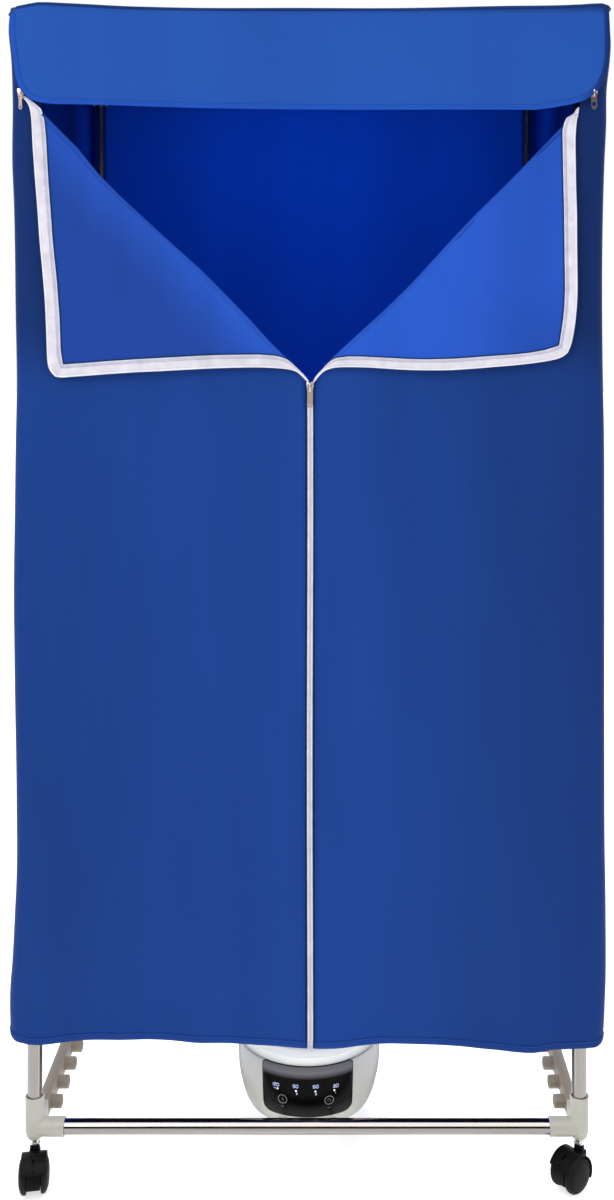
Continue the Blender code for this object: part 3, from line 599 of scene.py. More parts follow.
TOP_LINE = curve_of([(-0.3800, 1.4750), (-0.3706, 1.4787), (-0.3668, 1.4812), (-0.3631, 1.4835), (-0.3556, 1.4850),
                     (-0.3481, 1.4866), (-0.3405, 1.4884), (-0.3330, 1.4887), (-0.3080, 1.4876), (-0.2830, 1.4863),
                     (-0.2580, 1.4850), (-0.2329, 1.4838), (-0.1828, 1.4827), (0.1675, 1.4823), (0.2426, 1.4835),
                     (0.3177, 1.4850), (0.3427, 1.4862), (0.3627, 1.4875), (0.3752, 1.4873), (0.3800, 1.4855)])
CORNER_R = 0.0150


FOLD_SAG = {-1: line_of([(0.0, -0.002), (0.09, -0.0042), (0.15, -0.0040), (0.22, -0.0020), (0.41, -0.0014),
                        (0.58, -0.0036), (0.70, -0.0062), (0.77, -0.0060), (0.86, -0.0010), (1.0, 0.0)]),
            1: line_of([(0.0, -0.001), (0.09, -0.0034), (0.25, -0.0060), (0.37, -0.0060), (0.62, -0.0020),
                        (0.92, 0.0006), (1.0, 0.0016)])}


def fold_x(z, sx):
    """Slanted edge of a door panel; the cloth's fold wanders a little off the straight line."""
    t = np.clip((z - APEX_Z) / (DOOR_TOP - APEX_Z), 0, 1)
    return ZIP_X + sx * (0.0008 + t * (FOLD_X - 0.0008)) - sx * FOLD_SAG[sx](t) / 0.7028


def door_edge(z, sx):
    return np.where(z <= APEX_Z, ZIP_X + sx * 0.0037,
                    sx * np.maximum(sx * fold_x(z, sx), sx * (ZIP_X + sx * 0.0037)))


def ripple(s, z):
    """Soft hanging waves of the cloth, in metres outward."""
    low = np.clip((1.0 - z) / 0.8, 0, 1)
    a = 0.45 * np.sin(s * 17.0 + 0.6 + 0.5 * np.sin(z * 2.1))
    b = 0.30 * np.sin(s * 31.0 + 2.1 + 0.9 * np.sin(z * 1.7 + 1.0))
    c = 0.25 * np.sin(s * 9.0 - 1.3 + 0.6 * z)
    d = 0.16 * np.sin(z * 5.2 + 4.0 * np.sin(s * 2.3))
    return (a + b + c + d) * (0.0011 + 0.0015 * low)


def shell_rows():
    lower = np.r_[0.0, 0.0022, 0.0056, 0.0082, np.linspace(0.016, APEX_Z - 0.186, 78)] / (APEX_Z - 0.186)
    upper = np.linspace(APEX_Z, DOOR_TOP, 44)[1:]
    top = np.linspace(DOOR_TOP, COVER_TOP, 15)[1:]
    return lower, upper, top


def shell():
    n_front, n_corner, n_side, n_back = 38, 8, 44, 70
    sections = [("fl", n_front), ("cfl", n_corner), ("l", n_side), ("cbl", n_corner), ("b", n_back),
                ("cbr", n_corner), ("r", n_side), ("cfr", n_corner), ("fr", n_front)]
    lower, upper, top = shell_rows()
    n_rows = len(lower) + len(upper) + len(top)
    cols = []                       # (section, parameter, base arc length)
    for tag, n in sections:
        ts = np.linspace(0, 1, n + 1)
        cols += [(tag, t) for t in (ts if tag == "fl" else ts[1:])]
    rows = np.zeros((n_rows, len(cols), 3))
    normal = np.zeros_like(rows)
    arc = np.zeros((n_rows, len(cols)))
    pin = np.ones((n_rows, len(cols)))

    def hem_of(tag, t):
        if tag == "fl":
            return FRONT_HEM(ZIP_X + (-0.3575 - ZIP_X) * t)
        if tag == "fr":
            return FRONT_HEM(0.3600 + (ZIP_X - 0.3600) * t)
        if tag == "cfl":
            return 0.1883 + 0.0065 * smooth(t)
        if tag == "l":
            return 0.1948 - 0.0080 * smooth(t * 1.6) + 0.0012 * math.sin(9 * t) * (1 - t)
        if tag == "r":
            return 0.1868 + 0.0015 * math.sin(math.pi * t) + 0.0010 * math.sin(8 * t) * (1 - t)
        if tag == "cfr":
            return 0.1868 - 0.0055 * smooth(t)
        return 0.1868 + 0.0025 * math.sin(2 * math.pi * t) * math.sin(math.pi * t)

    for j, (tag, t) in enumerate(cols):
        hem = float(hem_of(tag, t))
        zs = np.r_[hem + (APEX_Z - hem) * lower, upper, top]
        xl, xr = LEFT_X(zs), RIGHT_X(zs)
        r = CORNER_R
        if tag == "fl":
            x = door_edge(zs, -1) + (xl + r - door_edge(zs, -1)) * t
            y, nx, ny, s = np.full_like(zs, FRONT_Y), 0 * zs, -1 + 0 * zs, ZIP_X - x
        elif tag == "fr":
            x = xr - r + (door_edge(zs, 1) - (xr - r)) * t
            y, nx, ny, s = np.full_like(zs, FRONT_Y), 0 * zs, -1 + 0 * zs, 3.0 - (x - ZIP_X)
        elif tag in ("cfl", "cbl", "cbr", "cfr"):
            first = {"cfl": 270, "cbl": 180, "cbr": 90, "cfr": 0}[tag]
            a = math.radians(first - 90 * t)
            cx = (xl + r) if tag in ("cfl", "cbl") else (xr - r)
            cy = (FRONT_Y + r) if tag in ("cfl", "cfr") else (BACK_Y - r)
            x, y = cx + r * math.cos(a), cy + r * math.sin(a) + 0 * zs
            nx, ny = math.cos(a) + 0 * zs, math.sin(a) + 0 * zs
            s = {"cfl": 0.375, "cbl": 0.86, "cbr": 1.62, "cfr": 2.11}[tag] + 0.024 * t + 0 * zs
        elif tag == "l":
            x, y = xl, FRONT_Y + r + (BACK_Y - FRONT_Y - 2 * r) * t + 0 * zs
            nx, ny, s = -1 + 0 * zs, 0 * zs, 0.40 + 0.446 * t + 0 * zs
        elif tag == "r":
            x, y = xr, BACK_Y - r + (FRONT_Y - BACK_Y + 2 * r) * t + 0 * zs
            nx, ny, s = 1 + 0 * zs, 0 * zs, 1.65 + 0.446 * t + 0 * zs
        else:
            x = xl + r + (xr - xl - 2 * r) * t
            y, nx, ny, s = np.full_like(zs, BACK_Y), 0 * zs, 1 + 0 * zs, 0.89 + 0.72 * t + 0 * zs
        rows[:, j] = np.stack([x, y, zs], 1)
        normal[:, j] = np.stack([nx, ny, 0 * zs], 1)
        arc[:, j] = s
        free = np.ones_like(zs)
        if tag in ("fl", "fr"):
            gap = np.abs(x - door_edge(zs, -1 if tag == "fl" else 1))
            free = smooth(gap / 0.05) * np.where(zs > APEX_Z - 0.02, 0.45, 1.0)
        if tag in ("l", "r", "b"):
            free = free * (0.4 + 1.6 * np.sin(math.pi * t) ** 0.5)
        elif tag.startswith("c"):
            free = free * 0.4
        else:
            free = free * (0.4 + 0.6 * smooth(np.minimum(np.abs(x - xl), np.abs(xr - x)) / 0.06))
        pin[:, j] = free * smooth((COVER_TOP - zs) / 0.06)
    wave = ripple(arc, rows[:, :, 2]) * pin
    # the hem flares a little and each corner is drawn in between its ends
    flare = 0.0016 * np.exp(-((rows[:, :, 2] - 0.185) / 0.03) ** 2) * np.minimum(pin, 1.0)
    rows += normal * (wave + flare)[:, :, None]
    return rows, cols


SHELL, SHELL_COLS = shell()
verts = SHELL.reshape(-1, 3)
cover = piece("cover_shell", verts, grid_faces(SHELL.shape[0], SHELL.shape[1], flip=True), [CLOTH_OUT, CLOTH_IN_SHADED],
              "frame", ["cover_back", "cover_left", "cover_right", "cover_front_left", "cover_front_right"])
orient(cover, around)
cloth_thickness(cover, 0.0008, True)


def offset_rows(block, out):
    """A grid of points pushed outward, using the grid's own normals."""
    du = np.gradient(block, axis=0)
    dv = np.gradient(block, axis=1)
    n = np.cross(du, dv)
    n /= np.linalg.norm(n, axis=2, keepdims=True) + 1e-12
    return block + n * out[..., None] if hasattr(out, "ndim") and out.ndim else block + n * out


def stitches(shape, path, normals, pitch=0.0034, length=0.0021, radius=0.00032, slot=0):
    """A row of small raised stitches along a path that lies on cloth."""
    pts = np.array(path, float)
    nrm = np.array(normals, float)
    steps = np.r_[0, np.cumsum(np.linalg.norm(np.diff(pts, axis=0), axis=1))]
    count = int(steps[-1] / pitch)
    for k in range(count):
        a = (k + 0.5) * pitch - length / 2
        ends = []
        for s in (a, a + length * 0.5, a + length):
            p = Vector([np.interp(s, steps, pts[:, i]) for i in range(3)])
            n = Vector([np.interp(s, steps, nrm[:, i]) for i in range(3)]).normalized()
            ends.append((p, n))
        line = [ends[0][0] - ends[0][1] * radius, ends[1][0] + ends[1][1] * radius * 0.9, ends[2][0] - ends[2][1] * radius]
        shape.tube(line, [radius * 0.6, radius, radius * 0.6], 5, slot)
    return shape


# The doubled hem: a band hugging the lower edge, and the row of stitches that holds it.
hem_rows = 4
hem_block = SHELL[:hem_rows]
band = np.concatenate([offset_rows(hem_block, 0.0)])
band_n = np.cross(np.gradient(hem_block, axis=1), np.gradient(hem_block, axis=0))
band_n /= np.linalg.norm(band_n, axis=2, keepdims=True) + 1e-12
flip_sign = np.sign(np.sum(band_n[:, 5, 1]))
band_n *= -flip_sign if flip_sign > 0 else 1.0
if band_n[1, 5, 1] > 0:
    band_n *= -1
lift = np.array([0.0004, 0.0009, 0.0009, 0.0002])[:, None]
band_out = hem_block + band_n * lift[..., None]
band_out[0, :, 2] -= 0.0006
hem = piece("cover_hem", band_out.reshape(-1, 3), grid_faces(hem_rows, SHELL.shape[1], flip=True), [CLOTH_OUT],
            "frame", ())
orient(hem, around)
cloth_thickness(hem, 0.0007)
seam = Shape()
line = band_out[2] * 0.6 + band_out[3] * 0.4
stitches(seam, line + band_n[2] * 0.0003, band_n[2], 0.0040, 0.0026)
hem_seam = seam.make("hem_stitches", [THREAD], "frame", (), "cloth")

# ------------------------------------------------------------------------ roof
def roof_grid():
    nx, ny = 60, 40
    us, vs = np.linspace(0, 1, nx), np.linspace(0, 1, ny)
    xl, xr = float(LEFT_X(COVER_TOP)), float(RIGHT_X(COVER_TOP))
    y0, y1, r = FRONT_Y - 0.0035, BACK_Y + 0.0004, 0.016
    pts = np.zeros((ny, nx, 3))
    for i, v in enumerate(vs):
        for j, u in enumerate(us):
            x, y = xl + (xr - xl) * u, y0 + (y1 - y0) * v
            # round the four corners of the sheet
            cx = min(max(x, xl + r), xr - r)
            cy = min(max(y, y0 + r), y1 - r)
            dx, dy = x - cx, y - cy
            m = max(abs(dx), abs(dy))
            if abs(dx) > 1e-9 and abs(dy) > 1e-9:
                k = m / math.hypot(dx, dy)
                x, y = cx + dx * k, cy + dy * k
            edge = min(u, 1 - u) * (xr - xl), min(v, 1 - v) * (y1 - y0)
            sag = 0.0072 * float(smooth(min(edge) / 0.10))
            wrinkle = 0.0010 * math.sin(x * 21 + 3 * math.sin(y * 9)) * float(smooth(min(edge) / 0.06))
            wrinkle += 0.0007 * math.sin(y * 37 + x * 8)  * float(smooth(min(edge) / 0.06))
            rim = 1.4836 + (float(TOP_LINE(x)) - 0.0021 - 1.4836) * (1 - float(smooth(v / 0.12)))
            pts[i, j] = (x, y, rim - sag + wrinkle)
    return pts


ROOF = roof_grid()
roof = piece("cover_roof", ROOF.reshape(-1, 3), grid_faces(ROOF.shape[0], ROOF.shape[1]), [CLOTH_ROOF, CLOTH_IN_SHADED],
             "frame", ["cover_top"])
orient(roof, lambda p: (0.0, 0.0, 1.0))
cloth_thickness(roof, 0.0008, True)

ring = list(ROOF[0, :]) + list(ROOF[1:, -1]) + list(ROOF[-1, -2::-1]) + list(ROOF[-2:0:-1, 0])
ring = np.array(ring)
ring[:, 2] += 0.0004 * np.sin(ring[:, 0] * 24 + ring[:, 1] * 18)
pipe = Shape().tube([Vector(p) for p in ring], 0.0019, 10, closed=True)
roof_piping = pipe.make("roof_piping", [PIPING], "frame", (), "cloth")

# ---------------------------------------------------------------------- header
HEAD_L = curve_of([(0.0, -0.3119), (0.0014, -0.3270), (0.0045, -0.3397), (0.0115, -0.3499), (0.0197, -0.3563),
                  (0.0330, -0.3612), (0.0542, -0.3640), (0.0680, -0.3662), (0.0940, -0.3694), (0.1060, -0.3706),
                  (0.1240, -0.3690)])
HEAD_R = curve_of([(0.0, 0.2845), (0.0032, 0.3099), (0.0096, 0.3417), (0.0178, 0.3564), (0.0286, 0.3671),
                  (0.0429, 0.3735), (0.0616, 0.3776), (0.0900, 0.3784), (0.1240, 0.3770)])
HEAD_LOW = curve_of([(-0.375, 1.3606), (-0.2882, 1.3602), (-0.1326, 1.3556), (0.0293, 1.3535), (0.1787, 1.3536),
                     (0.2845, 1.3534), (0.380, 1.3534)])


def header_point(x, off):
    """The header's face at x, off above its lower edge."""
    # it hangs clear of the zip between the two sliders, so that they can pass behind it
    clear = 0.0058 * float(smooth(min(1.0, max(0.0, (0.344 - abs(x)) / 0.040))))
    low = float(HEAD_LOW(x)) - clear * 0.19
    z = low + (float(TOP_LINE(x)) - 0.0030 - low) * off / 0.1240
    t = off / 0.1240
    hang = (0.0040 + clear) * (1 - t)
    puff = 0.0046 * math.sin(math.pi * min(1.0, t ** 0.85)) ** 0.8 if 0 < t < 1 else 0.0
    side = min(1.0, max(0.0, (0.374 - abs(x)) / 0.045))
    puff *= 0.35 + 0.65 * float(smooth(side))
    wave = 0.0007 * math.sin(x * 15 + 1.0) + 0.0005 * math.sin(x * 34 + 6 * t)
    return (x, -0.2420 - hang - puff - wave * math.sin(math.pi * t), z)


def header_grid():
    offs = [0.0, 0.0007, 0.0018, 0.0035, 0.006, 0.0085, 0.0115, 0.0155, 0.020, 0.0255, 0.031, 0.038, 0.046, 0.055,
            0.064, 0.073, 0.082, 0.091, 0.100, 0.108, 0.114, 0.1185, 0.1220, 0.1240]
    us = np.linspace(0, 1, 120)
    pts = np.zeros((len(offs), len(us), 3))
    for i, off in enumerate(offs):
        xl, xr = float(HEAD_L(off)), float(HEAD_R(off))
        for j, u in enumerate(us):
            pts[i, j] = header_point(xl + (xr - xl) * u, off)
    return pts


HEAD = header_grid()
header = piece("cover_header_band", HEAD.reshape(-1, 3), grid_faces(HEAD.shape[0], HEAD.shape[1]),
               [CLOTH_HEAD_LIT, CLOTH_IN_SHADED], "frame", ["cover_header"])
orient(header, forward)
cloth_thickness(header, 0.0008, True)

# Its hem follows the two sides, the rounded corners and the lower edge.
rim = [HEAD[i, 0] for i in range(HEAD.shape[0] - 2, 0, -1)] + list(HEAD[0, :]) + [HEAD[i, -1] for i in range(1, HEAD.shape[0] - 1)]
rim = resample(rounded(rim, 1), 420)
tangent = np.gradient(rim, axis=0)
tangent /= np.linalg.norm(tangent, axis=1, keepdims=True)
inward = np.stack([-tangent[:, 2], 0 * tangent[:, 0], tangent[:, 0]], 1)
inward /= np.linalg.norm(inward, axis=1, keepdims=True) + 1e-12
wide = 0.0062
across = np.array([-0.0003, 0.0, 0.0012, 0.0030, 0.0048, 0.0058, 0.0062])
rise = np.array([-0.0001, 0.0007, 0.0013, 0.0012, 0.0011, 0.0007, -0.0003])
head_hem = np.zeros((len(across), len(rim), 3))
for i, (w, h) in enumerate(zip(across, rise)):
    for j in range(len(rim)):
        x, z = rim[j, 0] + inward[j, 0] * w, rim[j, 2] + inward[j, 2] * w
        low = float(HEAD_LOW(x))
        off = max(0.0, min(0.124, (z - low) / (float(TOP_LINE(x)) - 0.0030 - low) * 0.124))
        head_hem[i, j] = (x, header_point(x, off)[1] - h, z)
hem2 = piece("header_hem", head_hem.reshape(-1, 3), grid_faces(len(across), len(rim)), [CLOTH_HEM_LIT], "frame", ())
orient(hem2, forward)
cloth_thickness(hem2, 0.0007)
seam = Shape()
stitches(seam, head_hem[4] + np.array([0, -0.0001, 0]), np.tile([0.0, -1.0, 0.0], (len(rim), 1)), 0.0036, 0.0024, 0.00028)
head_seam = seam.make("header_stitches", [THREAD], "frame", (), "cloth_light")

# ------------------------------------------------------------- folded door corners
OUTER = {
    -1: ([(0.0018, 1.0128), (-0.0033, 1.0184), (-0.0071, 1.0221), (-0.0108, 1.0253), (-0.0150, 1.0277), (-0.0261, 1.0303), (-0.0490, 1.0319), (-0.0680, 1.0321),
          (-0.0869, 1.0318), (-0.1058, 1.0313), (-0.1249, 1.0305), (-0.1440, 1.0295), (-0.1630, 1.0285), (-0.1820, 1.0274),
          (-0.2008, 1.0267), (-0.2198, 1.0257), (-0.2389, 1.0244), (-0.2579, 1.0230), (-0.2770, 1.0215), (-0.2954, 1.0202),
          (-0.3060, 1.0192), (-0.3145, 1.0204)],
         [(-0.3145, 1.0204), (-0.3205, 1.0262), (-0.3235, 1.0330), (-0.3247, 1.0420), (-0.3253, 1.0595), (-0.3261, 1.0806),
          (-0.3269, 1.1022), (-0.3282, 1.1235), (-0.3300, 1.1443), (-0.3318, 1.1651), (-0.3339, 1.1855), (-0.3353, 1.2063),
          (-0.3368, 1.2272), (-0.3383, 1.2479), (-0.3400, 1.2684), (-0.3415, 1.2891), (-0.3430, 1.3099), (-0.3439, 1.3309),
          (-0.3447, 1.3440), (-0.3462, 1.3560), (-0.3505, 1.3650), (-0.3560, 1.3702)]),
    1: ([(0.0088, 1.0128), (0.0152, 1.0211), (0.0215, 1.0274), (0.0300, 1.0308), (0.0401, 1.0324), (0.0596, 1.0324),
         (0.0792, 1.0319), (0.0993, 1.0306), (0.1194, 1.0292), (0.1393, 1.0285), (0.1588, 1.0284), (0.1783, 1.0285),
         (0.1969, 1.0297), (0.2154, 1.0310), (0.2341, 1.0326), (0.2529, 1.0341), (0.2717, 1.0359), (0.2906, 1.0383),
         (0.3102, 1.0415), (0.3205, 1.0452), (0.3268, 1.0506)],
        [(0.3268, 1.0506), (0.3306, 1.0590), (0.3329, 1.0676), (0.3360, 1.0856), (0.3378, 1.1034), (0.3390, 1.1207),
         (0.3391, 1.1394), (0.3388, 1.1579), (0.3386, 1.1762), (0.3384, 1.1943), (0.3384, 1.2123), (0.3382, 1.2305),
         (0.3375, 1.2489), (0.3370, 1.2673), (0.3369, 1.2853), (0.3365, 1.3036), (0.3364, 1.3219), (0.3380, 1.3401),
         (0.3398, 1.3483), (0.3413, 1.3581)]),
}
INNER = {
    -1: ([(0.0030, 1.0150), (-0.0005, 1.0195), (-0.0040, 1.0237), (-0.0071, 1.0267), (-0.0108, 1.0304), (-0.0170, 1.0363), (-0.0222, 1.0408),
          (-0.0258, 1.0431), (-0.0342, 1.0459), (-0.0420, 1.0472),
          (-0.0599, 1.0484), (-0.0793, 1.0482), (-0.0979, 1.0480), (-0.1166, 1.0476), (-0.1355, 1.0468), (-0.1544, 1.0457),
          (-0.1730, 1.0447), (-0.1918, 1.0437), (-0.2104, 1.0427), (-0.2294, 1.0414), (-0.2481, 1.0402), (-0.2674, 1.0386),
          (-0.2860, 1.0373), (-0.3048, 1.0360)],
         [(-0.3048, 1.0360), (-0.3077, 1.0544), (-0.3083, 1.0752), (-0.3092, 1.0964), (-0.3108, 1.1171), (-0.3122, 1.1379),
          (-0.3143, 1.1582), (-0.3164, 1.1784), (-0.3182, 1.1987), (-0.3196, 1.2196), (-0.3211, 1.2401), (-0.3227, 1.2604),
          (-0.3239, 1.2809), (-0.3250, 1.3016), (-0.3261, 1.3222), (-0.3282, 1.3428), (-0.3325, 1.3560), (-0.3398, 1.3622),
          (-0.3478, 1.3682), (-0.3545, 1.3730)]),
    1: ([(0.0080, 1.0150), (0.0110, 1.0207), (0.0155, 1.0259), (0.0192, 1.0295), (0.0230, 1.0334), (0.0267, 1.0378), (0.0310, 1.0412),
         (0.0365, 1.0440), (0.0514, 1.0461),
         (0.0704, 1.0458), (0.0903, 1.0448), (0.1095, 1.0439), (0.1295, 1.0428), (0.1487, 1.0424), (0.1676, 1.0427),
         (0.1863, 1.0433), (0.2046, 1.0446), (0.2226, 1.0460), (0.2415, 1.0473), (0.2607, 1.0486), (0.2794, 1.0507),
         (0.2980, 1.0540), (0.3159, 1.0596)],
        [(0.3159, 1.0596), (0.3186, 1.0771), (0.3211, 1.0949), (0.3226, 1.1123), (0.3232, 1.1300), (0.3230, 1.1490),
         (0.3227, 1.1673), (0.3225, 1.1853), (0.3223, 1.2033), (0.3221, 1.2211), (0.3218, 1.2390), (0.3213, 1.2569),
         (0.3209, 1.2747), (0.3206, 1.2924), (0.3203, 1.3103), (0.3199, 1.3285), (0.3226, 1.3394), (0.3252, 1.3445),
         (0.3341, 1.3495), (0.3385, 1.3570)]),
}
EYE = (0.0405, -1.8200, 1.0614)      # the outlines above were taken from here, on the plane of the door panels


def seen_at(x, y, z, plane=-0.2385, share=1.0):
    """Moves a point that lies off the plane of the door panels so that it still covers its outline."""
    k = 1.0 + ((y - EYE[1]) / (plane - EYE[1]) - 1.0) * share
    return EYE[0] + (x - EYE[0]) * k, y, EYE[2] + (z - EYE[2]) * k


def fold_frame(sx):
    low = np.array([ZIP_X + sx * 0.0008, APEX_Z])
    high = np.array([ZIP_X + sx * FOLD_X, DOOR_TOP])
    along = (high - low) / np.linalg.norm(high - low)
    out = np.array([-along[1], along[0]])
    if out @ (np.array([ZIP_X, DOOR_TOP]) - low) < 0:
        out = -out
    return low, high, along, out


def flap_y(x, z, sx, lift=0.0):
    """Depth of a folded corner's face: it stands off the door panel and bellies forward a little."""
    low, high, along, out = fold_frame(sx)
    rel = np.stack([x - low[0], z - low[1]], -1)
    depth = -(rel @ out)
    run = (rel @ along) / np.linalg.norm(high - low)
    belly = 0.0052 * np.sin(math.pi * np.clip(depth / 0.235, 0, 1)) ** 0.9 * np.clip(np.sin(math.pi * np.clip(run, 0, 1)), 0, 1) ** 0.5
    wave = 0.0007 * np.sin(x * 26 + z * 14 + sx) * smooth(depth / 0.06)
    return -0.2447 - belly - wave - lift - 0.0006 * smooth(depth / 0.03)


def flap(sx):
    tag = "left" if sx < 0 else "right"
    body = "flap_" + tag
    low, high, along, out = fold_frame(sx)
    inside = CLOTH_LEFT_LIT if sx < 0 else CLOTH_RIGHT_LIT

    # the tape, from the zip's apex round the corner to the upper tip
    n = 130
    out_a, out_b = (resample(rounded(part, 1), n) for part in OUTER[sx])
    in_a, in_b = (resample(part, n) for part in INNER[sx])
    edge_out = np.vstack([out_a, out_b[1:]])
    edge_in = np.vstack([in_a, in_b[1:]])
    share = np.array([0.0, 0.015, 0.05, 0.10, 0.14, 0.155, 0.20, 0.40, 0.62, 0.69, 0.715, 0.735, 0.76, 0.84, 0.90, 0.965, 1.0])
    # rows by material: painted highlight on the edges and ridge, plain tape, painted shade in the groove
    row_mats = [3, 1, 1, 1, 0, 0, 0, 0, 0, 2, 2, 2, 2, 2, 3, 3]
    relief = np.array([0.0001, 0.0006, 0.0012, 0.0012, 0.0007, 0.0004, 0.0005, 0.0006, 0.0006, 0.0005, 0.0001, 0.0002,
                       0.0008, 0.0009, 0.0012, 0.0009, 0.0001])
    count = len(edge_out)
    width = np.linalg.norm(edge_out - edge_in, axis=1)
    full = smooth((width - 0.002) / 0.010)
    tape = np.zeros((len(share), count, 3))
    for i, (w, h) in enumerate(zip(share, relief)):
        p = edge_out * (1 - w) + edge_in * w
        y = flap_y(p[:, 0], p[:, 1], sx, 0.0007) - h * (0.35 + 0.65 * full)
        # close to the slider the tape turns edge-on and comes back to the zip line
        near = smooth((0.030 - np.hypot(p[:, 0] - ZIP_X, p[:, 1] - 1.0128)) / 0.028)
        y = y * (1 - near) + (-0.2409 - 0.0012 * (1 - w)) * near
        # at the upper tip it slips behind the header
        tip = smooth((p[:, 1] - 1.3330) / 0.024)
        y = y * (1 - tip) + (-0.2434 - 0.0006 * (1 - w)) * tip
        tape[i] = np.stack(seen_at(p[:, 0], y, p[:, 1]), 1)
    tape_obj = piece("zip_tape_" + tag, tape.reshape(-1, 3), grid_faces(len(share), count, flip=sx > 0),
                     [TAPE, TAPE_LIT, TAPE_GROOVE_SHADE, TAPE_EDGE_LIT], body, ())
    tape_obj.data.polygons.foreach_set("material_index", [m for m in row_mats for _ in range(count - 1)])
    orient(tape_obj, forward)
    cloth_thickness(tape_obj, 0.0006)

    # teeth along its outer edge
    teeth = Shape()
    line = np.stack([tape[0, :, 0], tape[2, :, 1], tape[0, :, 2]], 1)
    inw = edge_in - edge_out
    inw /= np.linalg.norm(inw, axis=1, keepdims=True) + 1e-9
    steps = np.r_[0, np.cumsum(np.linalg.norm(np.diff(line, axis=0), axis=1))]
    pitch = 0.0016
    for k in range(int(steps[-1] / pitch) - 4):
        s = (k + 3) * pitch
        p = Vector([np.interp(s, steps, line[:, i]) for i in range(3)])
        q = Vector((np.interp(s, steps, inw[:, 0]), 0, np.interp(s, steps, inw[:, 1]))).normalized()
        a = p + q * 0.0005 + Vector((0, 0.0002, 0))
        b = p + q * 0.0017 + Vector((0, -0.0002, 0))
        c = p + q * 0.0029 + Vector((0, 0.0004, 0))
        teeth.tube([a, b, c], [0.00042, 0.00058, 0.00042], 6)
    teeth_obj = teeth.make("zip_teeth_" + tag, [COIL], body, (), "cloth_light")

    # two rows of stitches and the mitred corner
    sew = Shape()
    for row in (10, 14):
        path = tape[row].copy()
        keep = slice(14, count - 10)
        stitches(sew, path[keep] + np.array([0, -0.0002, 0]), np.tile([0.0, -1.0, 0.0], (count, 1))[keep], 0.0034, 0.0021, 0.00026)
    corner = [tape[i, n - 1] + np.array([0, -0.0003, 0]) for i in range(3, len(share) - 1)]
    stitches(sew, corner, np.tile([0.0, -1.0, 0.0], (len(corner), 1)), 0.0026, 0.0018, 0.00026)
    sew_obj = sew.make("zip_stitches_" + tag, [THREAD_WHITE], body, (), "cloth_light")

    # the narrow turned edge of the cloth that shows on both sides of the tape, coloured near black as painted shadow
    turned = Shape()
    for row, step in ((0, -1), (len(share) - 1, 1)):
        side_way = np.stack([inw[:, 0], 0 * inw[:, 0], inw[:, 1]], 1) * step
        path = tape[row] + side_way * 0.0005 + np.array([0, 0.0010 if row == 0 else 0.0004, 0])
        keep = path[10:count - 12]
        turned.tube([Vector(p) for p in resample(keep, 150)], 0.00085, 6)
    edging = turned.make("door_edge_shadow_" + tag, [EDGE_SHADOW_CLOTH], body, (), "cloth")

    # the cloth: a patch between the fold and the middle of the tape
    mid = edge_out * 0.62 + edge_in * 0.38
    length = np.linalg.norm(high - low)

    def fold_at(t):
        return low + (high - low) * t + out * float(FOLD_SAG[sx](t))

    t0, t1 = 0.062, 0.978
    start, stop, m = fold_at(t0), fold_at(t1), fold_at((t0 + t1) / 2)
    na = nb = 44
    last = 16 if sx < 0 else 4
    bottom = resample(np.vstack([start[None], mid[15:n]]), nb + 1)             # apex end to corner
    side = resample(np.vstack([mid[n - 1:-last], stop[None]])[::-1], na + 1)   # tip end to corner
    to_p = np.array([fold_at((t0 + t1) / 2 * (1 - t) + t0 * t) for t in np.linspace(0, 1, na + 1)])
    to_t = np.array([fold_at((t0 + t1) / 2 * (1 - t) + t1 * t) for t in np.linspace(0, 1, nb + 1)])
    patch = np.zeros((na + 1, nb + 1, 3))
    for i in range(na + 1):
        for j in range(nb + 1):
            a, b = i / na, j / nb
            p = ((1 - b) * to_p[i] + b * side[i] + (1 - a) * to_t[j] + a * bottom[j]
                 - ((1 - a) * (1 - b) * m + a * (1 - b) * start + (1 - a) * b * stop + a * b * mid[n - 1]))
            patch[i, j] = (p[0], 0, p[1])
    patch[:, :, 1] = flap_y(patch[:, :, 0], patch[:, :, 2], sx)
    tip = smooth((patch[:, :, 2] - 1.3330) / 0.024)
    patch[:, :, 1] = patch[:, :, 1] * (1 - tip) + -0.2424 * tip
    depth = -((patch[:, :, 0] - low[0]) * out[0] + (patch[:, :, 2] - low[1]) * out[1])
    moved = seen_at(patch[:, :, 0], patch[:, :, 1], patch[:, :, 2], share=smooth(depth / 0.04))
    patch[:, :, 0], patch[:, :, 2] = moved[0], moved[2]
    flap_obj = piece("door_corner_" + tag, patch.reshape(-1, 3), grid_faces(na + 1, nb + 1, flip=sx < 0),
                     [inside, CLOTH_FOLD], body, ["door_flap_" + tag])
    orient(flap_obj, forward)
    cloth_thickness(flap_obj, 0.0008, True)

    # the rolled fold that joins it to the door panel
    turns, nt = 12, 70
    roll = np.zeros((turns + 1, nt, 3))
    for j in range(nt):
        t = j / (nt - 1)
        p = fold_at(0.050 + 0.935 * t)
        swell = 1.0 + 0.22 * math.sin(p[0] * 40) * math.sin(math.pi * t)
        for i in range(turns + 1):
            a = math.pi / 2 - math.pi * i / turns
            q = p + out * 0.0034 * math.cos(a) * swell
            roll[i, j] = (q[0], HINGE_Y + 0.0034 * math.sin(a), q[1])
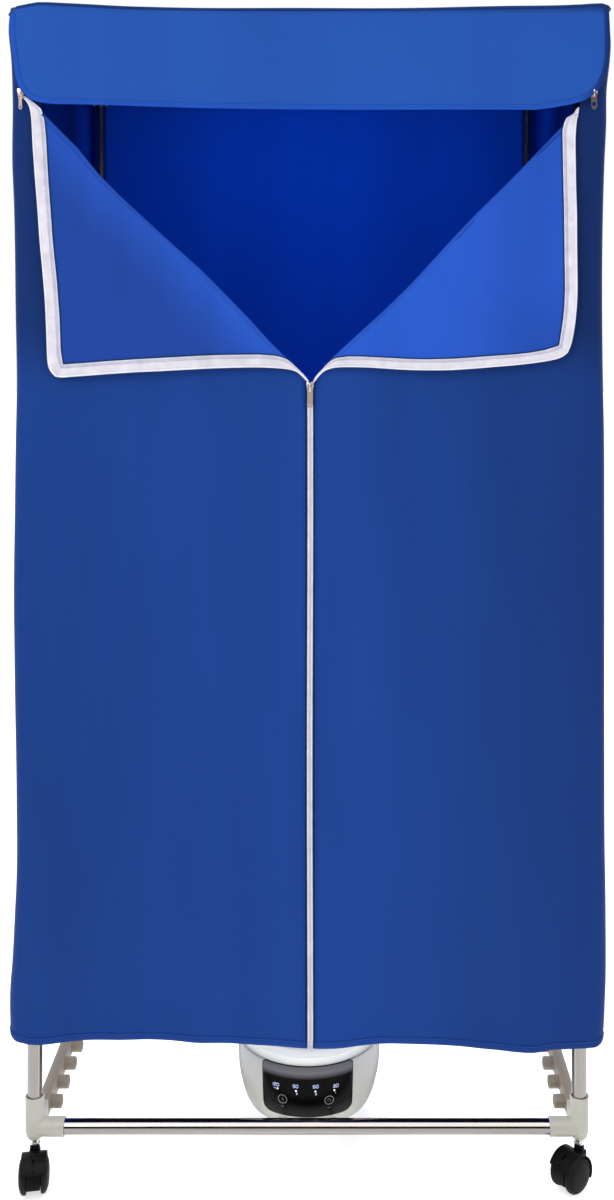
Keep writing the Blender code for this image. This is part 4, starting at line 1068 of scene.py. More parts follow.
    # each lip of the roll is tucked behind its panel
    lip_back = roll[:1] - np.array([out[0], 0, out[1]]) * 0.003
    lip_back[..., 1] = FRONT_Y + 0.0012
    lip_front = roll[-1:] - np.array([out[0], 0, out[1]]) * 0.003
    lip_front[..., 1] = -0.2436
    roll = np.concatenate([lip_back, roll, lip_front])
    roll_obj = piece("door_fold_" + tag, roll.reshape(-1, 3), grid_faces(turns + 3, nt, flip=sx > 0),
                     [inside, CLOTH_FOLD], None, ())
    orient(roll_obj, lambda q: (out[0], (q[1] - HINGE_Y) * 300, out[1]))
    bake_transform(roll_obj)
    cloth_thickness(roll_obj, 0.0006, True)
    return flap_obj, tape_obj, teeth_obj, sew_obj, roll_obj, edging


FLAPS = {sx: flap(sx) for sx in (-1, 1)}

# ---------------------------------------------------------------- the centre zip
chain_low, chain_high = float(FRONT_HEM(ZIP_X)) + 0.0035, 1.0125
tape_c = np.zeros((9, 120, 3))
for i, (dx, dy) in enumerate([(-0.0090, 0.0013), (-0.0042, 0.0011), (-0.0036, 0.0001), (-0.0030, -0.0005), (0, -0.0003),
                              (0.0030, -0.0005), (0.0036, 0.0001), (0.0042, 0.0011), (0.0090, 0.0013)]):
    zs = np.linspace(chain_low, chain_high, 120)
    tape_c[i] = np.stack([ZIP_X + dx + 0 * zs + 0.0005 * np.sin(zs * 9), FRONT_Y + dy + 0 * zs, zs], 1)
# painted light: the centre tape uses the lighter copy of the tape
centre_tape = piece("zip_tape_centre", tape_c.reshape(-1, 3), grid_faces(9, 120), [TAPE_LIT], "frame", ())
orient(centre_tape, forward)
cloth_thickness(centre_tape, 0.0005)
teeth = Shape()
pitch = 0.0015
for k in range(int((chain_high - chain_low) / pitch)):
    z = chain_low + (k + 0.5) * pitch
    x = ZIP_X + 0.0005 * math.sin(z * 9)
    sx = 1 if k % 2 else -1
    teeth.tube([(x - sx * 0.0008, -0.2390, z), (x + sx * 0.0004, -0.2397, z), (x + sx * 0.0017, -0.2389, z)],
               [0.00055, 0.00070, 0.00050], 6)
# painted shade: the closed chain uses the darker copy of the coil
centre_teeth = teeth.make("zip_teeth_centre", [COIL_SHADED], "frame", (), "cloth")
sew = Shape()
for sx in (-1, 1):
    zs = np.linspace(chain_low + 0.004, APEX_Z - 0.012, 100)
    path = np.stack([ZIP_X + sx * 0.0072 + 0 * zs, FRONT_Y - 0.0002 + 0 * zs, zs], 1)
    stitches(sew, path, np.tile([0.0, -1.0, 0.0], (100, 1)), 0.0036, 0.0024, 0.00026)
centre_sew = sew.make("zip_stitches_centre", [THREAD], "frame", (), "cloth")
# painted shadow: near-black beads along both edges of the centre zip, on the cloth's turned edges
turned = Shape()
for sx in (-1, 1):
    zs = np.linspace(chain_low - 0.002, APEX_Z - 0.004, 90)
    turned.tube([Vector((ZIP_X + sx * 0.0044 + 0.0004 * math.sin(z * 9), FRONT_Y - 0.0005, z)) for z in zs], 0.0008, 6)
centre_edging = turned.make("door_edge_shadow_centre", [EDGE_SHADOW_CLOTH], "frame", (), "cloth")


def slider(name, x, z, y_back, length, ring, w, tab_metal):
    """A zip slider with its bridge, and the pull tab that hangs on it."""
    top = [(-0.0022, 0.0060), (-0.0040, 0.0058), (-0.0046, 0.0042), (-0.0044, 0.0015), (-0.0034, -0.0030),
           (-0.0032, -0.0060), (0.0032, -0.0060), (0.0034, -0.0030), (0.0044, 0.0015), (0.0046, 0.0042),
           (0.0040, 0.0058), (0.0022, 0.0060), (0.0, 0.0044)]
    s = Shape()
    outline = [(x + a, z + b) for a, b in top]
    s.prism(outline, y_back - 0.0030, y_back - 0.0019, 0, bevel=0.0003)
    s.prism(outline, y_back - 0.0006, y_back, 0, bevel=0.0002)
    s.box((x - 0.0008, y_back - 0.0021, z + 0.0008), (x + 0.0008, y_back - 0.0004, z + 0.0048), 0, 0.0003)
    for side in (-1, 1):
        s.tube([(x + side * 0.0041, y_back - 0.0020, z + 0.0052), (x + side * 0.0036, y_back - 0.0020, z - 0.0010),
                (x + side * 0.0030, y_back - 0.0020, z - 0.0058)], 0.00055, 6)
    arch = [(x, y_back - 0.0026, z + 0.0044), (x, y_back - 0.0046, z + 0.0040), (x, y_back - 0.0056, z + 0.0024),
            (x, y_back - 0.0057, z - 0.0020), (x, y_back - 0.0046, z - 0.0038), (x, y_back - 0.0026, z - 0.0042)]
    s.tube([tuple(p) for p in rounded(arch, 2)], 0.0009, 10)
    body = s.make("slider_" + name, [SLIDER_METAL], "slider_" + name, ["zip_slider_" + name], "zip_metal", 30)

    y_tab = y_back - 0.00395
    t = Shape()
    if ring:
        outer = [(-w + 0.0008, 0.0006), (-w, -0.0006), (-w, -length + 0.0050), (-0.0022, -length + 0.0014), (0, -length),
                 (0.0022, -length + 0.0014), (w, -length + 0.0050), (w, -0.0006), (w - 0.0008, 0.0006)]
        holes = [(-0.0020, -0.0014, -0.0052, 0.0020), (-0.0022, -length + 0.0096, -length + 0.0044, 0.0022)]
    else:
        outer = [(-w + 0.0008, 0.0006), (-w, -0.0006), (-w * 0.86, -length * 0.45), (-w, -length + 0.0022),
                 (-w + 0.0016, -length + 0.0004), (0, -length), (w - 0.0016, -length + 0.0004), (w, -length + 0.0022),
                 (w * 0.86, -length * 0.45), (w, -0.0006), (w - 0.0008, 0.0006)]
        holes = [(-w * 0.47, -0.0012, -0.0062, w * 0.47), (-w * 0.33, -length + 0.0044, -length + 0.0022, w * 0.33)]
    mesh = bpy.data.meshes.new("tab_" + name)
    bm = bmesh.new()
    vs = [bm.verts.new((x + a, y_tab - 0.0005, z + b)) for a, b in outer]
    face = bm.faces.new(vs)
    made = bmesh.ops.extrude_face_region(bm, geom=[face])
    bmesh.ops.translate(bm, vec=(0, 0.0010, 0), verts=[v for v in made["geom"] if isinstance(v, bmesh.types.BMVert)])
    bmesh.ops.recalc_face_normals(bm, faces=bm.faces)
    bm.to_mesh(mesh)
    bm.free()
    mesh.materials.append(tab_metal)
    tab = bpy.data.objects.new("tab_" + name, mesh)
    bpy.context.scene.collection.objects.link(tab)
    for k, (x0, z1, z0, x1) in enumerate(holes):
        cutter = Shape().box((x + x0, y_tab - 0.003, z + z0), (x + x1, y_tab + 0.003, z + z1), 0, 0.0006, 3)
        cut = cutter.make("cut_%s_%d" % (name, k), [tab_metal], None)
        mod = tab.modifiers.new("hole", "BOOLEAN")
        mod.operation, mod.solver, mod.object = "DIFFERENCE", "EXACT", cut
        bpy.context.view_layer.update()
        graph = bpy.context.evaluated_depsgraph_get()
        done = bpy.data.meshes.new_from_object(tab.evaluated_get(graph))
        tab.modifiers.clear()
        tab.data = done
        bpy.data.objects.remove(cut, do_unlink=True)
    tab.data.name = "tab_" + name
    edge = tab.modifiers.new("edge", "BEVEL")
    edge.width, edge.segments, edge.limit_method, edge.angle_limit = 0.00022, 2, "ANGLE", math.radians(40)
    tab.data.shade_smooth()
    tab.data.set_sharp_from_angle(angle=math.radians(40))
    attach(tab, "tab_" + name)
    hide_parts("pull_tab_" + name)
    return body, tab


slider("centre", ZIP_X, 1.0080, -0.2395, 0.0260, False, 0.0037, TAB_METAL)
slider("left", -0.3560, 1.3740, -0.2433, 0.0210, False, 0.0023, TAB_METAL)
slider("right", 0.3580, 1.3740, -0.2433, 0.0210, True, 0.0036, TAB_DARK)

# --------------------------------------------------------------------- frame tubes
def tube_piece(name, start, end, mat, wall=0.0008, radius=TUBE_R, slot="stainless"):
    length = (Vector(end) - Vector(start)).length
    inner = radius - wall
    profile = [(radius - 0.0003, 0.0), (radius, 0.0003), (radius, length * 0.25), (radius, length * 0.5),
               (radius, length * 0.75), (radius, length - 0.0003), (radius - 0.0003, length), (inner, length),
               (inner, length * 0.5), (inner, 0.0)]
    s = Shape().lathe(profile, start, Vector(end) - Vector(start), 48, closed=True)
    return s.make(name + "_tube", [mat], "frame", [name], slot)


for place, (sx, sy, _) in CORNERS.items():
    tube_piece("post_" + place, (sx * POST_X, sy * POST_Y, Z_LOW + 0.0178), (sx * POST_X, sy * POST_Y, Z_HIGH - 0.0063), STEEL_UP)
for place, sy in (("front", -1), ("rear", 1)):
    reach = POST_X - 0.0163
    tube_piece("bottom_tube_" + place, (-reach, sy * POST_Y, Z_LOW), (reach, sy * POST_Y, Z_LOW), STEEL_ACROSS)
    tube_piece("top_tube_" + place, (-reach, sy * POST_Y, Z_HIGH), (reach, sy * POST_Y, Z_HIGH), STEEL_ACROSS)
for place, index in (("front", 2), ("rear", 6)):
    y = (index - 4) * 0.0435
    reach = RAIL_X - RAIL_HALF - 0.0003
    tube_piece("hanging_rod_" + place, (-reach, y, Z_HIGH - 0.0045), (reach, y, Z_HIGH - 0.0045), STEEL_ACROSS, 0.0006)

route = [(-0.2104, 0.0700), (-0.2010, 0.0685), (-0.1945, 0.0600), (-0.1880, 0.0480), (-0.1800, 0.0410), (-0.1050, 0.0410),
         (-0.0300, 0.0410), (-0.0200, 0.0480), (-0.0120, 0.0600), (-0.0030, 0.0690), (0.0100, 0.0700), (0.2104, 0.0700)]
for side, x in (("left", -0.0350), ("right", 0.0350)):
    path = [(x, p[0], p[1]) for p in rounded(route, 2)]
    bar = Shape().tube(path, 0.0030, 16)
    for y, sy in ((-0.2104, 1), (0.2104, -1)):
        bar.lathe([(0.0030, -0.0002), (0.0046, 0.0), (0.0042, 0.0012), (0.0031, 0.0022)], (x, y, 0.0700), (0, sy, 0), 16)
    bar.make("cradle_bar_" + side, [STEEL_BAR], "frame", ["heater_cradle_" + side], "stainless")

# --------------------------------------------------------------- corner connectors
def connector(place, sx, sy, top):
    level, up = (Z_HIGH, -1) if top else (Z_LOW, 1)
    x, y = sx * POST_X, sy * POST_Y
    s = Shape()
    body = [(0.0060, -0.0135), (0.0074, -0.0134), (0.0088, -0.0124), (0.0099, -0.0105), (0.0108, -0.0075), (0.0114, -0.0045),
            (0.0116, -0.0010), (0.0116, 0.0365), (0.0117, 0.0372), (0.0119, 0.0378), (0.0119, 0.0392), (0.0116, 0.0399),
            (0.0110, 0.0400), (0.0098, 0.0398), (0.0094, 0.0388), (0.0098, 0.0175), (0.0060, 0.0175)]
    if top:
        body = [(r, h - 0.0195 if h > 0.03 else h) for r, h in body]
        body[0] = (0.0, -0.0135)
        body[-2:] = [(0.0098, 0.0060), (0.0, 0.0060)]
    s.lathe([(r, up * h) for r, h in body], (x, y, level), (0, 0, 1), 48, closed=not top)
    sleeve = [(0.0, 0.0), (0.0112, 0.0004), (0.0114, 0.0340), (0.0115, 0.0350), (0.0117, 0.0356), (0.0117, 0.0374),
              (0.0113, 0.0380), (0.0099, 0.0380), (0.0094, 0.0372), (0.0098, 0.0160), (0.0, 0.0160)]
    s.lathe(sleeve, (x, y, level), (-sx, 0, 0), 48)
    ys = sorted((y, sy * 0.1953))
    zs = sorted((level + up * -0.0090, level + up * 0.0200))
    s.box((sx * RAIL_X - 0.0080, ys[0], zs[0]), (sx * RAIL_X + 0.0080, ys[1], zs[1]), 0, 0.0016, 3)
    name = ("connector_top_" if top else "connector_bottom_") + place
    return s.make("corner_" + ("top_" if top else "bottom_") + place, [IVORY], "frame", [name], "connector", 32)


for place, (sx, sy, _) in CORNERS.items():
    connector(place, sx, sy, False)
    connector(place, sx, sy, True)


def peg_rail(tag, side, sx, level, up):
    s = Shape()
    x = sx * RAIL_X
    zs = sorted((level + up * -0.0070, level + up * 0.0180))
    s.box((x - RAIL_HALF, -0.1950, zs[0]), (x + RAIL_HALF, 0.1950, zs[1]), 0, 0.0014, 3)
    for i in range(9):
        y = (i - 4) * 0.0435
        start = (x - sx * (RAIL_HALF - 0.001), y, level + up * 0.0045)
        s.lathe([(0.0, 0.0), (0.0092, 0.0002), (0.0092, 0.0018), (0.0084, 0.0024), (0.0083, 0.0142), (0.0079, 0.0151),
                 (0.0070, 0.0155), (0.0052, 0.0155), (0.0048, 0.0149), (0.0046, 0.0060), (0.0, 0.0060)], start, (-sx, 0, 0), 28)
    for sy in (-1, 1):
        s.box((x - 0.0042, sy * 0.2000 - 0.0052, level + up * 0.0055 - 0.0080), (x + 0.0042, sy * 0.2000 + 0.0052, level + up * 0.0055 + 0.0080), 0, 0.0004)
    name = "peg_rail_%s_%s" % (tag, side)
    return s.make("side_rail_%s_%s" % (tag, side), [RAIL], "frame", [name], "rail", 32)


for side, sx in (("left", -1), ("right", 1)):
    peg_rail("bottom", side, sx, Z_LOW, 1)
    peg_rail("top", side, sx, Z_HIGH, -1)


# ------------------------------------------------------------------------- casters
def caster(place, sx, sy, degrees):
    x, y = sx * POST_X, sy * POST_Y
    turn = math.radians(degrees)
    trail = Vector((math.cos(turn), math.sin(turn), 0))
    axle = Vector((-math.sin(turn), math.cos(turn), 0))
    hub = Vector((x, y, WHEEL_R)) + trail * TRAIL
    up = Vector((0, 0, 1))

    stem = Shape()
    stem.lathe([(0.0, 0.0440), (0.0044, 0.0440), (0.0044, 0.0502), (0.0060, 0.0505), (0.0065, 0.0508), (0.0065, 0.0517),
                (0.0060, 0.0521), (0.0050, 0.0523), (0.0049, 0.0534), (0.0055, 0.0538), (0.0055, 0.0548), (0.0051, 0.0552),
                (0.0051, 0.0560), (0.0055, 0.0564), (0.0055, 0.0800), (0.0048, 0.0815), (0.0038, 0.0825), (0.0, 0.0825)], (x, y, 0), (0, 0, 1), 32)
    stem.make("stem_" + place, [CHROME], "caster_" + place, ["caster_stem_" + place], "stem")

    # the hood: a fender band over both wheels, a web between them, the neck on top
    band = Shape()
    start_a, end_a, n = math.radians(26), math.radians(205), 34
    section = [(HOOD_R, -0.0150), (HOOD_R + 0.0001, -0.0110), (HOOD_R + 0.0001, 0.0), (HOOD_R + 0.0001, 0.0110), (HOOD_R, 0.0150),
               (HOOD_R - 0.0004, 0.0156), (0.0229, 0.0156), (0.0227, 0.0150), (0.0227, 0.0), (0.0227, -0.0150), (0.0229, -0.0156),
               (HOOD_R - 0.0004, -0.0156)]
    verts, k = [], len(section)
    for i in range(n + 1):
        a = start_a + (end_a - start_a) * i / n
        d = trail * math.cos(a) + up * math.sin(a)
        narrow = 1.0
        for r, t in section:
            verts.append(hub + d * r + axle * t * narrow)
    faces = grid_faces(n + 1, k, wrap_cols=True)
    faces += [tuple(reversed(range(k))), tuple(n * k + q for q in range(k))]
    fender = band.add(verts, faces).make("fender_" + place, [BLACK], None)
    # a slot in the front of the fender and a moulding dimple below it
    for a, half, tall in ((60.0, 0.0017, 0.0036), (35.0, 0.0012, 0.0011)):
        d = trail * math.cos(math.radians(a)) + up * math.sin(math.radians(a))
        t = up * math.cos(math.radians(a)) - trail * math.sin(math.radians(a))
        spot = hub + d * HOOD_R
        frame_of = Matrix(((d.x, axle.x, t.x, spot.x), (d.y, axle.y, t.y, spot.y), (d.z, axle.z, t.z, spot.z), (0, 0, 0, 1)))
        cut = Shape().box((-0.0030, -half, -tall), (0.0020, half, tall), 0, 0.0003, 2, frame_of).make("cut_hood", [BLACK], None)
        mod = fender.modifiers.new("slot", "BOOLEAN")
        mod.operation, mod.solver, mod.object = "DIFFERENCE", "EXACT", cut
        bpy.context.view_layer.update()
        graph = bpy.context.evaluated_depsgraph_get()
        done = bpy.data.meshes.new_from_object(fender.evaluated_get(graph))
        fender.modifiers.clear()
        fender.data = done
        bpy.data.objects.remove(cut, do_unlink=True)
    h = Shape().add([v.co.copy() for v in fender.data.vertices], [tuple(f.vertices) for f in fender.data.polygons])
    bpy.data.objects.remove(fender, do_unlink=True)
    # web, cut flat below
    web = []
    for side in (-1, 1):
        pts = []
        for i in range(29):
            a = math.radians(-22) + math.radians(224) * i / 28
            pts.append(hub + (trail * math.cos(a) + up * math.sin(a)) * 0.0224 + axle * side * 0.0084)
        web.append(pts)
    verts = web[0] + web[1]
    m = len(web[0])
    faces = [tuple(range(m)), tuple(reversed(range(m, 2 * m)))] + [(q, m + q, m + (q + 1) % m, (q + 1) % m) for q in range(m)]
    h.add(verts, faces)
    h.lathe([(0.0, 0.0330), (0.0068, 0.0330), (0.0066, 0.0430), (0.0062, 0.0450), (0.0060, 0.0490), (0.0056, 0.0498), (0.0046, 0.0500),
             (0.0046, 0.0440), (0.0, 0.0440)], (x, y, 0), (0, 0, 1), 32)
    # two shoulders that carry the neck into the fender
    h.box((-0.0068, -0.0068, 0.0), (0.0068, 0.0068, 0.0075), 0, 0.0012, 2,
          Matrix.Translation((x, y, 0.0345)) @ Matrix.Rotation(turn, 4, "Z"))
    h.make("hood_" + place, [BLACK], "caster_" + place, ["caster_hood_" + place], "caster_black", 30)

    w = Shape()
    flat = math.cos(math.pi / 20)
    for side in (-1, 1):
        profile = [(0.0, 0.0192), (0.0070, 0.0190), (0.0120, 0.0184), (0.0152, 0.0176), (0.0166, 0.0169), (0.0171, 0.0160),
                   (0.0178, 0.0159), (0.0183, 0.0165), (0.0198, 0.0156), (0.0210, 0.0145), (0.0218, 0.0134), (0.0220, 0.0124),
                   (0.0220, 0.0104), (0.0218, 0.0096), (0.0210, 0.0090), (0.0195, 0.0088), (0.0, 0.0088)]
        w.lathe([(r, side * t) for r, t in profile], hub, axle, 48)
    w.lathe([(0.0, -0.0090), (0.0022, -0.0090), (0.0022, 0.0090), (0.0, 0.0090)], hub, axle, 20)
    w.make("wheels_" + place, [TYRE], "wheels_" + place, ["caster_wheels_" + place], "wheel_black", 30)


for place, (sx, sy, degrees) in CORNERS.items():
    caster(place, sx, sy, degrees)

# --------------------------------------------------------------------- heater unit
C = (0.0, UNIT_Y, 0.0)
base = Shape()
bowl = [(0.0, 0.0448), (0.0560, 0.0448), (0.0680, 0.0446), (0.0735, 0.0450), (0.0775, 0.0464), (0.0805, 0.0490), (0.0840, 0.0545),
        (0.0868, 0.0608), (0.0892, 0.0680), (0.0909, 0.0750), (0.0928, 0.0830), (0.0942, 0.0920), (0.0949, 0.1010),
        (0.0951, 0.1100), (0.0951, 0.1290), (0.0948, 0.1318), (0.0941, 0.1332), (0.0934, 0.1338), (0.0928, 0.1338),
        (0.0928, 0.1050), (0.0920, 0.0930), (0.0882, 0.0740), (0.0820, 0.0565), (0.0778, 0.0504), (0.0700, 0.0470), (0.0, 0.0470)]
base.lathe(bowl, C, (0, 0, 1), 96)
base_obj = base.make("heater_bowl", [HOUSING], "frame", ["heater_base_shell"], "housing", 28)
feet = Shape()
for a in (45, 135, 225, 315):
    fx, fy = 0.062 * math.cos(math.radians(a)), UNIT_Y + 0.062 * math.sin(math.radians(a))
    feet.lathe([(0.0, 0.0418), (0.0064, 0.0418), (0.0072, 0.0424), (0.0074, 0.0448), (0.0, 0.0448)], (fx, fy, 0), (0, 0, 1), 24)
feet.make("heater_feet", [RUBBER], "frame", (), "gland")
vents = Shape()
for side in (-1, 1):
    for row in (-1, 0, 1):
        cx, cy = side * 0.0540, UNIT_Y + row * 0.0130
        vents.box((cx - 0.0100, cy - 0.0026, 0.04425), (cx + 0.0100, cy + 0.0026, 0.04475), 0, 0.0002)
vents.make("intake_vents", [RUBBER], "frame", (), "housing")

cap = Shape()
top_out = [(0.0918, 0.1350), (0.0940, 0.1350), (0.0946, 0.1356), (0.0946, 0.1366), (0.0941, 0.1380), (0.0926, 0.1396),
           (0.0905, 0.1411), (0.0888, 0.1419), (0.0882, 0.1420), (0.0878, 0.1424), (0.0862, 0.1436), (0.0835, 0.1452),
           (0.0815, 0.1464), (0.0800, 0.1470), (0.0795, 0.1472), (0.0791, 0.1477), (0.0772, 0.1492), (0.0757, 0.1506),
           (0.0746, 0.1526), (0.0741, 0.1550), (0.0740, 0.1840), (0.0736, 0.1854), (0.0728, 0.1860), (0.0720, 0.1854),
           (0.0718, 0.1840), (0.0718, 0.1510), (0.0762, 0.1462), (0.0868, 0.1402), (0.0910, 0.1378)]
cap.lathe(top_out, C, (0, 0, 1), 96, closed=True)
cap.make("heater_shoulder", [HOUSING], "frame", ["heater_top_shell"], "housing", 24)

PANEL_R = line_of([(0.0600, 0.0884), (0.0655, 0.0902), (0.0735, 0.0929), (0.0830, 0.0949), (0.0926, 0.0964), (0.1050, 0.0972),
                   (0.1210, 0.0972), (0.1270, 0.0968), (0.1330, 0.0960)])


def on_panel(x, z, out=0.0):
    r = float(PANEL_R(z)) + out
    a = math.asin(max(-1, min(1, x / r)))
    return Vector((r * math.sin(a), UNIT_Y - r * math.cos(a), z))


def panel_mesh():
    z0, z1, half = 0.0672, 0.1334, 0.0583
    offs = [0.0, 0.0004, 0.0012, 0.0024, 0.0042, 0.0064, 0.0095, 0.0135, 0.020, 0.027, 0.034, 0.041, 0.048, 0.054, 0.0585, 0.0615,
            0.0636, 0.0652, 0.0664, 0.0674]
    cols = 72
    pts = np.zeros((len(offs), cols, 3))
    back = np.zeros((len(offs), cols, 3))
    for i, off in enumerate(offs):
        z = z0 + off
        low, high = off, (z1 - z0) - off
        r_low, r_high = 0.0110, 0.0036
        inset = 0.0
        if low < r_low:
            inset = r_low - math.sqrt(max(0.0, r_low ** 2 - (r_low - low) ** 2))
        if high < r_high:
            inset = max(inset, r_high - math.sqrt(max(0.0, r_high ** 2 - (r_high - high) ** 2)))
        w = half - inset - 0.0016 * smooth(1 - off / 0.0674) * 0.8
        for j in range(cols):
            u = -1 + 2 * j / (cols - 1)
            u = math.sin(u * math.pi / 2) * 0.35 + u * 0.65
            edge = min((1 - abs(u)) * w, low, high)
            round_off = 0.0011 * (1 - math.sqrt(max(0.0, 1 - (1 - min(1.0, edge / 0.0014)) ** 2)))
            p = on_panel(u * w, z, 0.0002 - round_off)
            q = on_panel(u * w, z, -0.0021)
            pts[i, j], back[i, j] = p, q
    n, m = len(offs), cols
    verts = np.vstack([pts.reshape(-1, 3), back.reshape(-1, 3)])
    faces = grid_faces(n, m) + grid_faces(n, m, flip=True, base=n * m)
    rim = [(0, j) for j in range(m)] + [(i, m - 1) for i in range(1, n)] + [(n - 1, j) for j in range(m - 2, -1, -1)] \
        + [(i, 0) for i in range(n - 2, 0, -1)]
    ids = [i * m + j for i, j in rim]
    for a, b in zip(ids, ids[1:] + ids[:1]):
        faces.append((b, a, n * m + a, n * m + b))
    return verts, faces, [pts[i, j] for i, j in rim]


pv, pf, rim_pts = panel_mesh()
panel_shape = Shape().add(pv, pf)
panel = panel_shape.make("touch_panel", [PANEL], "frame", ["control_panel"], "panel", 45)
frame_rim = Shape().tube([Vector(p) + Vector((0, 0.0006, 0)) for p in rim_pts], 0.0007, 8, closed=True)
frame_rim.make("panel_gasket", [BLACK], "frame", (), "panel")


def segments(shape, x, z, size, digits, slot=0, aspect=0.78, thick=0.00030):
    """Seven-segment figures standing on the panel."""
    on = {"0": "abcdef", "1": "bc", "2": "abged", "3": "abgcd", "4": "fgbc", "5": "afgcd", "6": "afgecd", "8": "abcdefg", "9": "abcdfg",
          "-": "g"}
    w, h = size * aspect, size
    at = {"a": (0, h, w, h), "b": (w, h, w, h / 2), "c": (w, h / 2, w, 0), "d": (0, 0, w, 0), "e": (0, 0, 0, h / 2),
          "f": (0, h / 2, 0, h), "g": (0, h / 2, w, h / 2)}
    left = x - (len(digits) * (w + size * 0.28) - size * 0.28) / 2
    for digit in digits:
        for seg in on[digit]:
            x0, z0, x1, z1 = at[seg]
            a, b = Vector((left + x0, 0, z + z0)), Vector((left + x1, 0, z + z1))
            d = (b - a).normalized() * size * 0.07
            a, b = a + d, b - d
            line = [on_panel(p.x, p.z, 0.00025) for p in (a, (a + b) / 2, b)]
            shape.tube(line, thick, 5, slot)
        left += w + size * 0.28


glyphs, dots = Shape(), Shape()
for (x, z), text, (dx, dz) in zip([(-0.0420, 0.1082), (-0.0153, 0.1098), (0.0107, 0.1098), (0.0362, 0.1072)],
                                  ["120", "90", "60", "30"], [(-0.0385, 0.1040), (-0.0146, 0.1046), (0.0103, 0.1042), (0.0345, 0.1026)]):
    segments(glyphs, x, z - 0.0010, 0.0036, text)
    n = on_panel(dx, dz, 0.0)
    dots.lathe([(0.0, 0.0004), (0.0011, 0.0003), (0.0014, -0.0002), (0.0, -0.0004)], n, (n - Vector((0, UNIT_Y, n.z))), 12)
    segments(glyphs, dx + (-0.0040 if dx < -0.03 else 0.0008), dz - (0.0012 if dx < -0.03 else 0.0046), 0.0022,
             "4" if dx < -0.03 else "3" if dx < 0 else "2" if dx < 0.02 else "1", thick=0.00024)
glyphs.make("display_figures", [LAMP], "frame", (), "panel")
dots.make("display_dots", [LAMP_DOT], "frame", (), "panel")

keys = Shape()
for (x, z), kind in (((-0.0321, 0.0912), "timer"), ((0.0279, 0.0905), "power")):
    circle = [on_panel(x + 0.0056 * math.cos(a), z + 0.0056 * math.sin(a), 0.00018) for a in np.linspace(0, 2 * math.pi, 41)[:-1]]
    keys.tube(circle, 0.00026, 6, closed=True)
    if kind == "timer":
        hands = [on_panel(x + 0.0002, z + 0.0024, 0.0002), on_panel(x, z, 0.0002), on_panel(x + 0.0018, z - 0.0012, 0.0002)]
        keys.tube(hands, 0.00022, 5)
    else:
        arc = [on_panel(x + 0.0019 * math.cos(a), z - 0.0005 + 0.0019 * math.sin(a), 0.0001) for a in
               np.radians(np.linspace(140, 400, 24))]
        keys.tube(arc, 0.00011, 5)
        keys.tube([on_panel(x, z + 0.0028, 0.0002), on_panel(x, z + 0.0004, 0.0002)], 0.00020, 5)
    keys.tube([on_panel(x - 0.0016, z - 0.0100, 0.0002), on_panel(x + 0.0016, z - 0.0100, 0.0002)], 0.00018, 5)
keys.make("touch_keys", [INK], "frame", (), "panel")

grille = Shape()
grille.lathe([(0.0700, 0.1800), (0.0712, 0.1802), (0.0714, 0.1826), (0.0706, 0.1834), (0.0655, 0.1834), (0.0645, 0.1826),
              (0.0645, 0.1806), (0.0652, 0.1800)], C, (0, 0, 1), 72, closed=True)
for i in range(-7, 8):
    y = i * 0.0080
    reach = math.sqrt(max(0.0, 0.0652 ** 2 - y ** 2))
    grille.box((-reach, UNIT_Y + y - 0.0011, 0.1803), (reach, UNIT_Y + y + 0.0011, 0.1829), 0, 0.0004)
for x in (-0.0300, 0.0, 0.0300):
    reach = math.sqrt(0.0652 ** 2 - x ** 2)
    grille.box((x - 0.0012, UNIT_Y - reach, 0.1801), (x + 0.0012, UNIT_Y + reach, 0.1822), 0, 0.0004)
grille.make("air_grille", [GRILLE], "frame", ["outlet_grille"], "grille")

motor = Shape()
motor.lathe([(0.0, 0.0472), (0.0285, 0.0472), (0.0300, 0.0485), (0.0300, 0.0745), (0.0288, 0.0758), (0.0110, 0.0762), (0.0104, 0.0790),
             (0.0030, 0.0792), (0.0030, 0.1018), (0.0, 0.1020)], C, (0, 0, 1), 48)
motor.make("motor_can", [MOTOR], "frame", ["fan_motor"], "motor")
fan = Shape()
fan.lathe([(0.0034, 0.0840), (0.0180, 0.0840), (0.0190, 0.0850), (0.0190, 0.0985), (0.0172, 0.1006), (0.0120, 0.1010), (0.0034, 0.1010)], C,
          (0, 0, 1), 40, closed=True)
for i in range(7):
    a = 2 * math.pi * i / 7
    rows = []
    for r, w, tilt in ((0.0178, 0.0075, 46), (0.0300, 0.0085, 40), (0.0430, 0.0092, 34), (0.0560, 0.0090, 28), (0.0635, 0.0078, 24)):
        row = []
        for t in np.linspace(-1, 1, 7):
            u, bow = t * w, 0.0012 * (1 - t * t)
            row.append((r, u * math.cos(math.radians(tilt)), 0.0925 + u * math.sin(math.radians(tilt)) + bow))
        rows.append(row)
    front = [Vector(p) for row in rows for p in row]
    rear = [v - Vector((0, 0, 0.0014)) for v in front]
    n, m = len(rows), 7
    faces = grid_faces(n, m) + grid_faces(n, m, flip=True, base=n * m)
    rim_ids = [j for j in range(m)] + [i2 * m + m - 1 for i2 in range(1, n)] + [(n - 1) * m + j for j in range(m - 2, -1, -1)] \
        + [i2 * m for i2 in range(n - 2, 0, -1)]
    for p, q in zip(rim_ids, rim_ids[1:] + rim_ids[:1]):
        faces.append((q, p, n * m + p, n * m + q))
    place = Matrix.Translation((0, UNIT_Y, 0)) @ Matrix.Rotation(a, 4, "Z")
    fan.add([place @ v for v in front + rear], faces)
fan.make("impeller", [IMPELLER], "fan", ["fan_impeller"], "impeller")

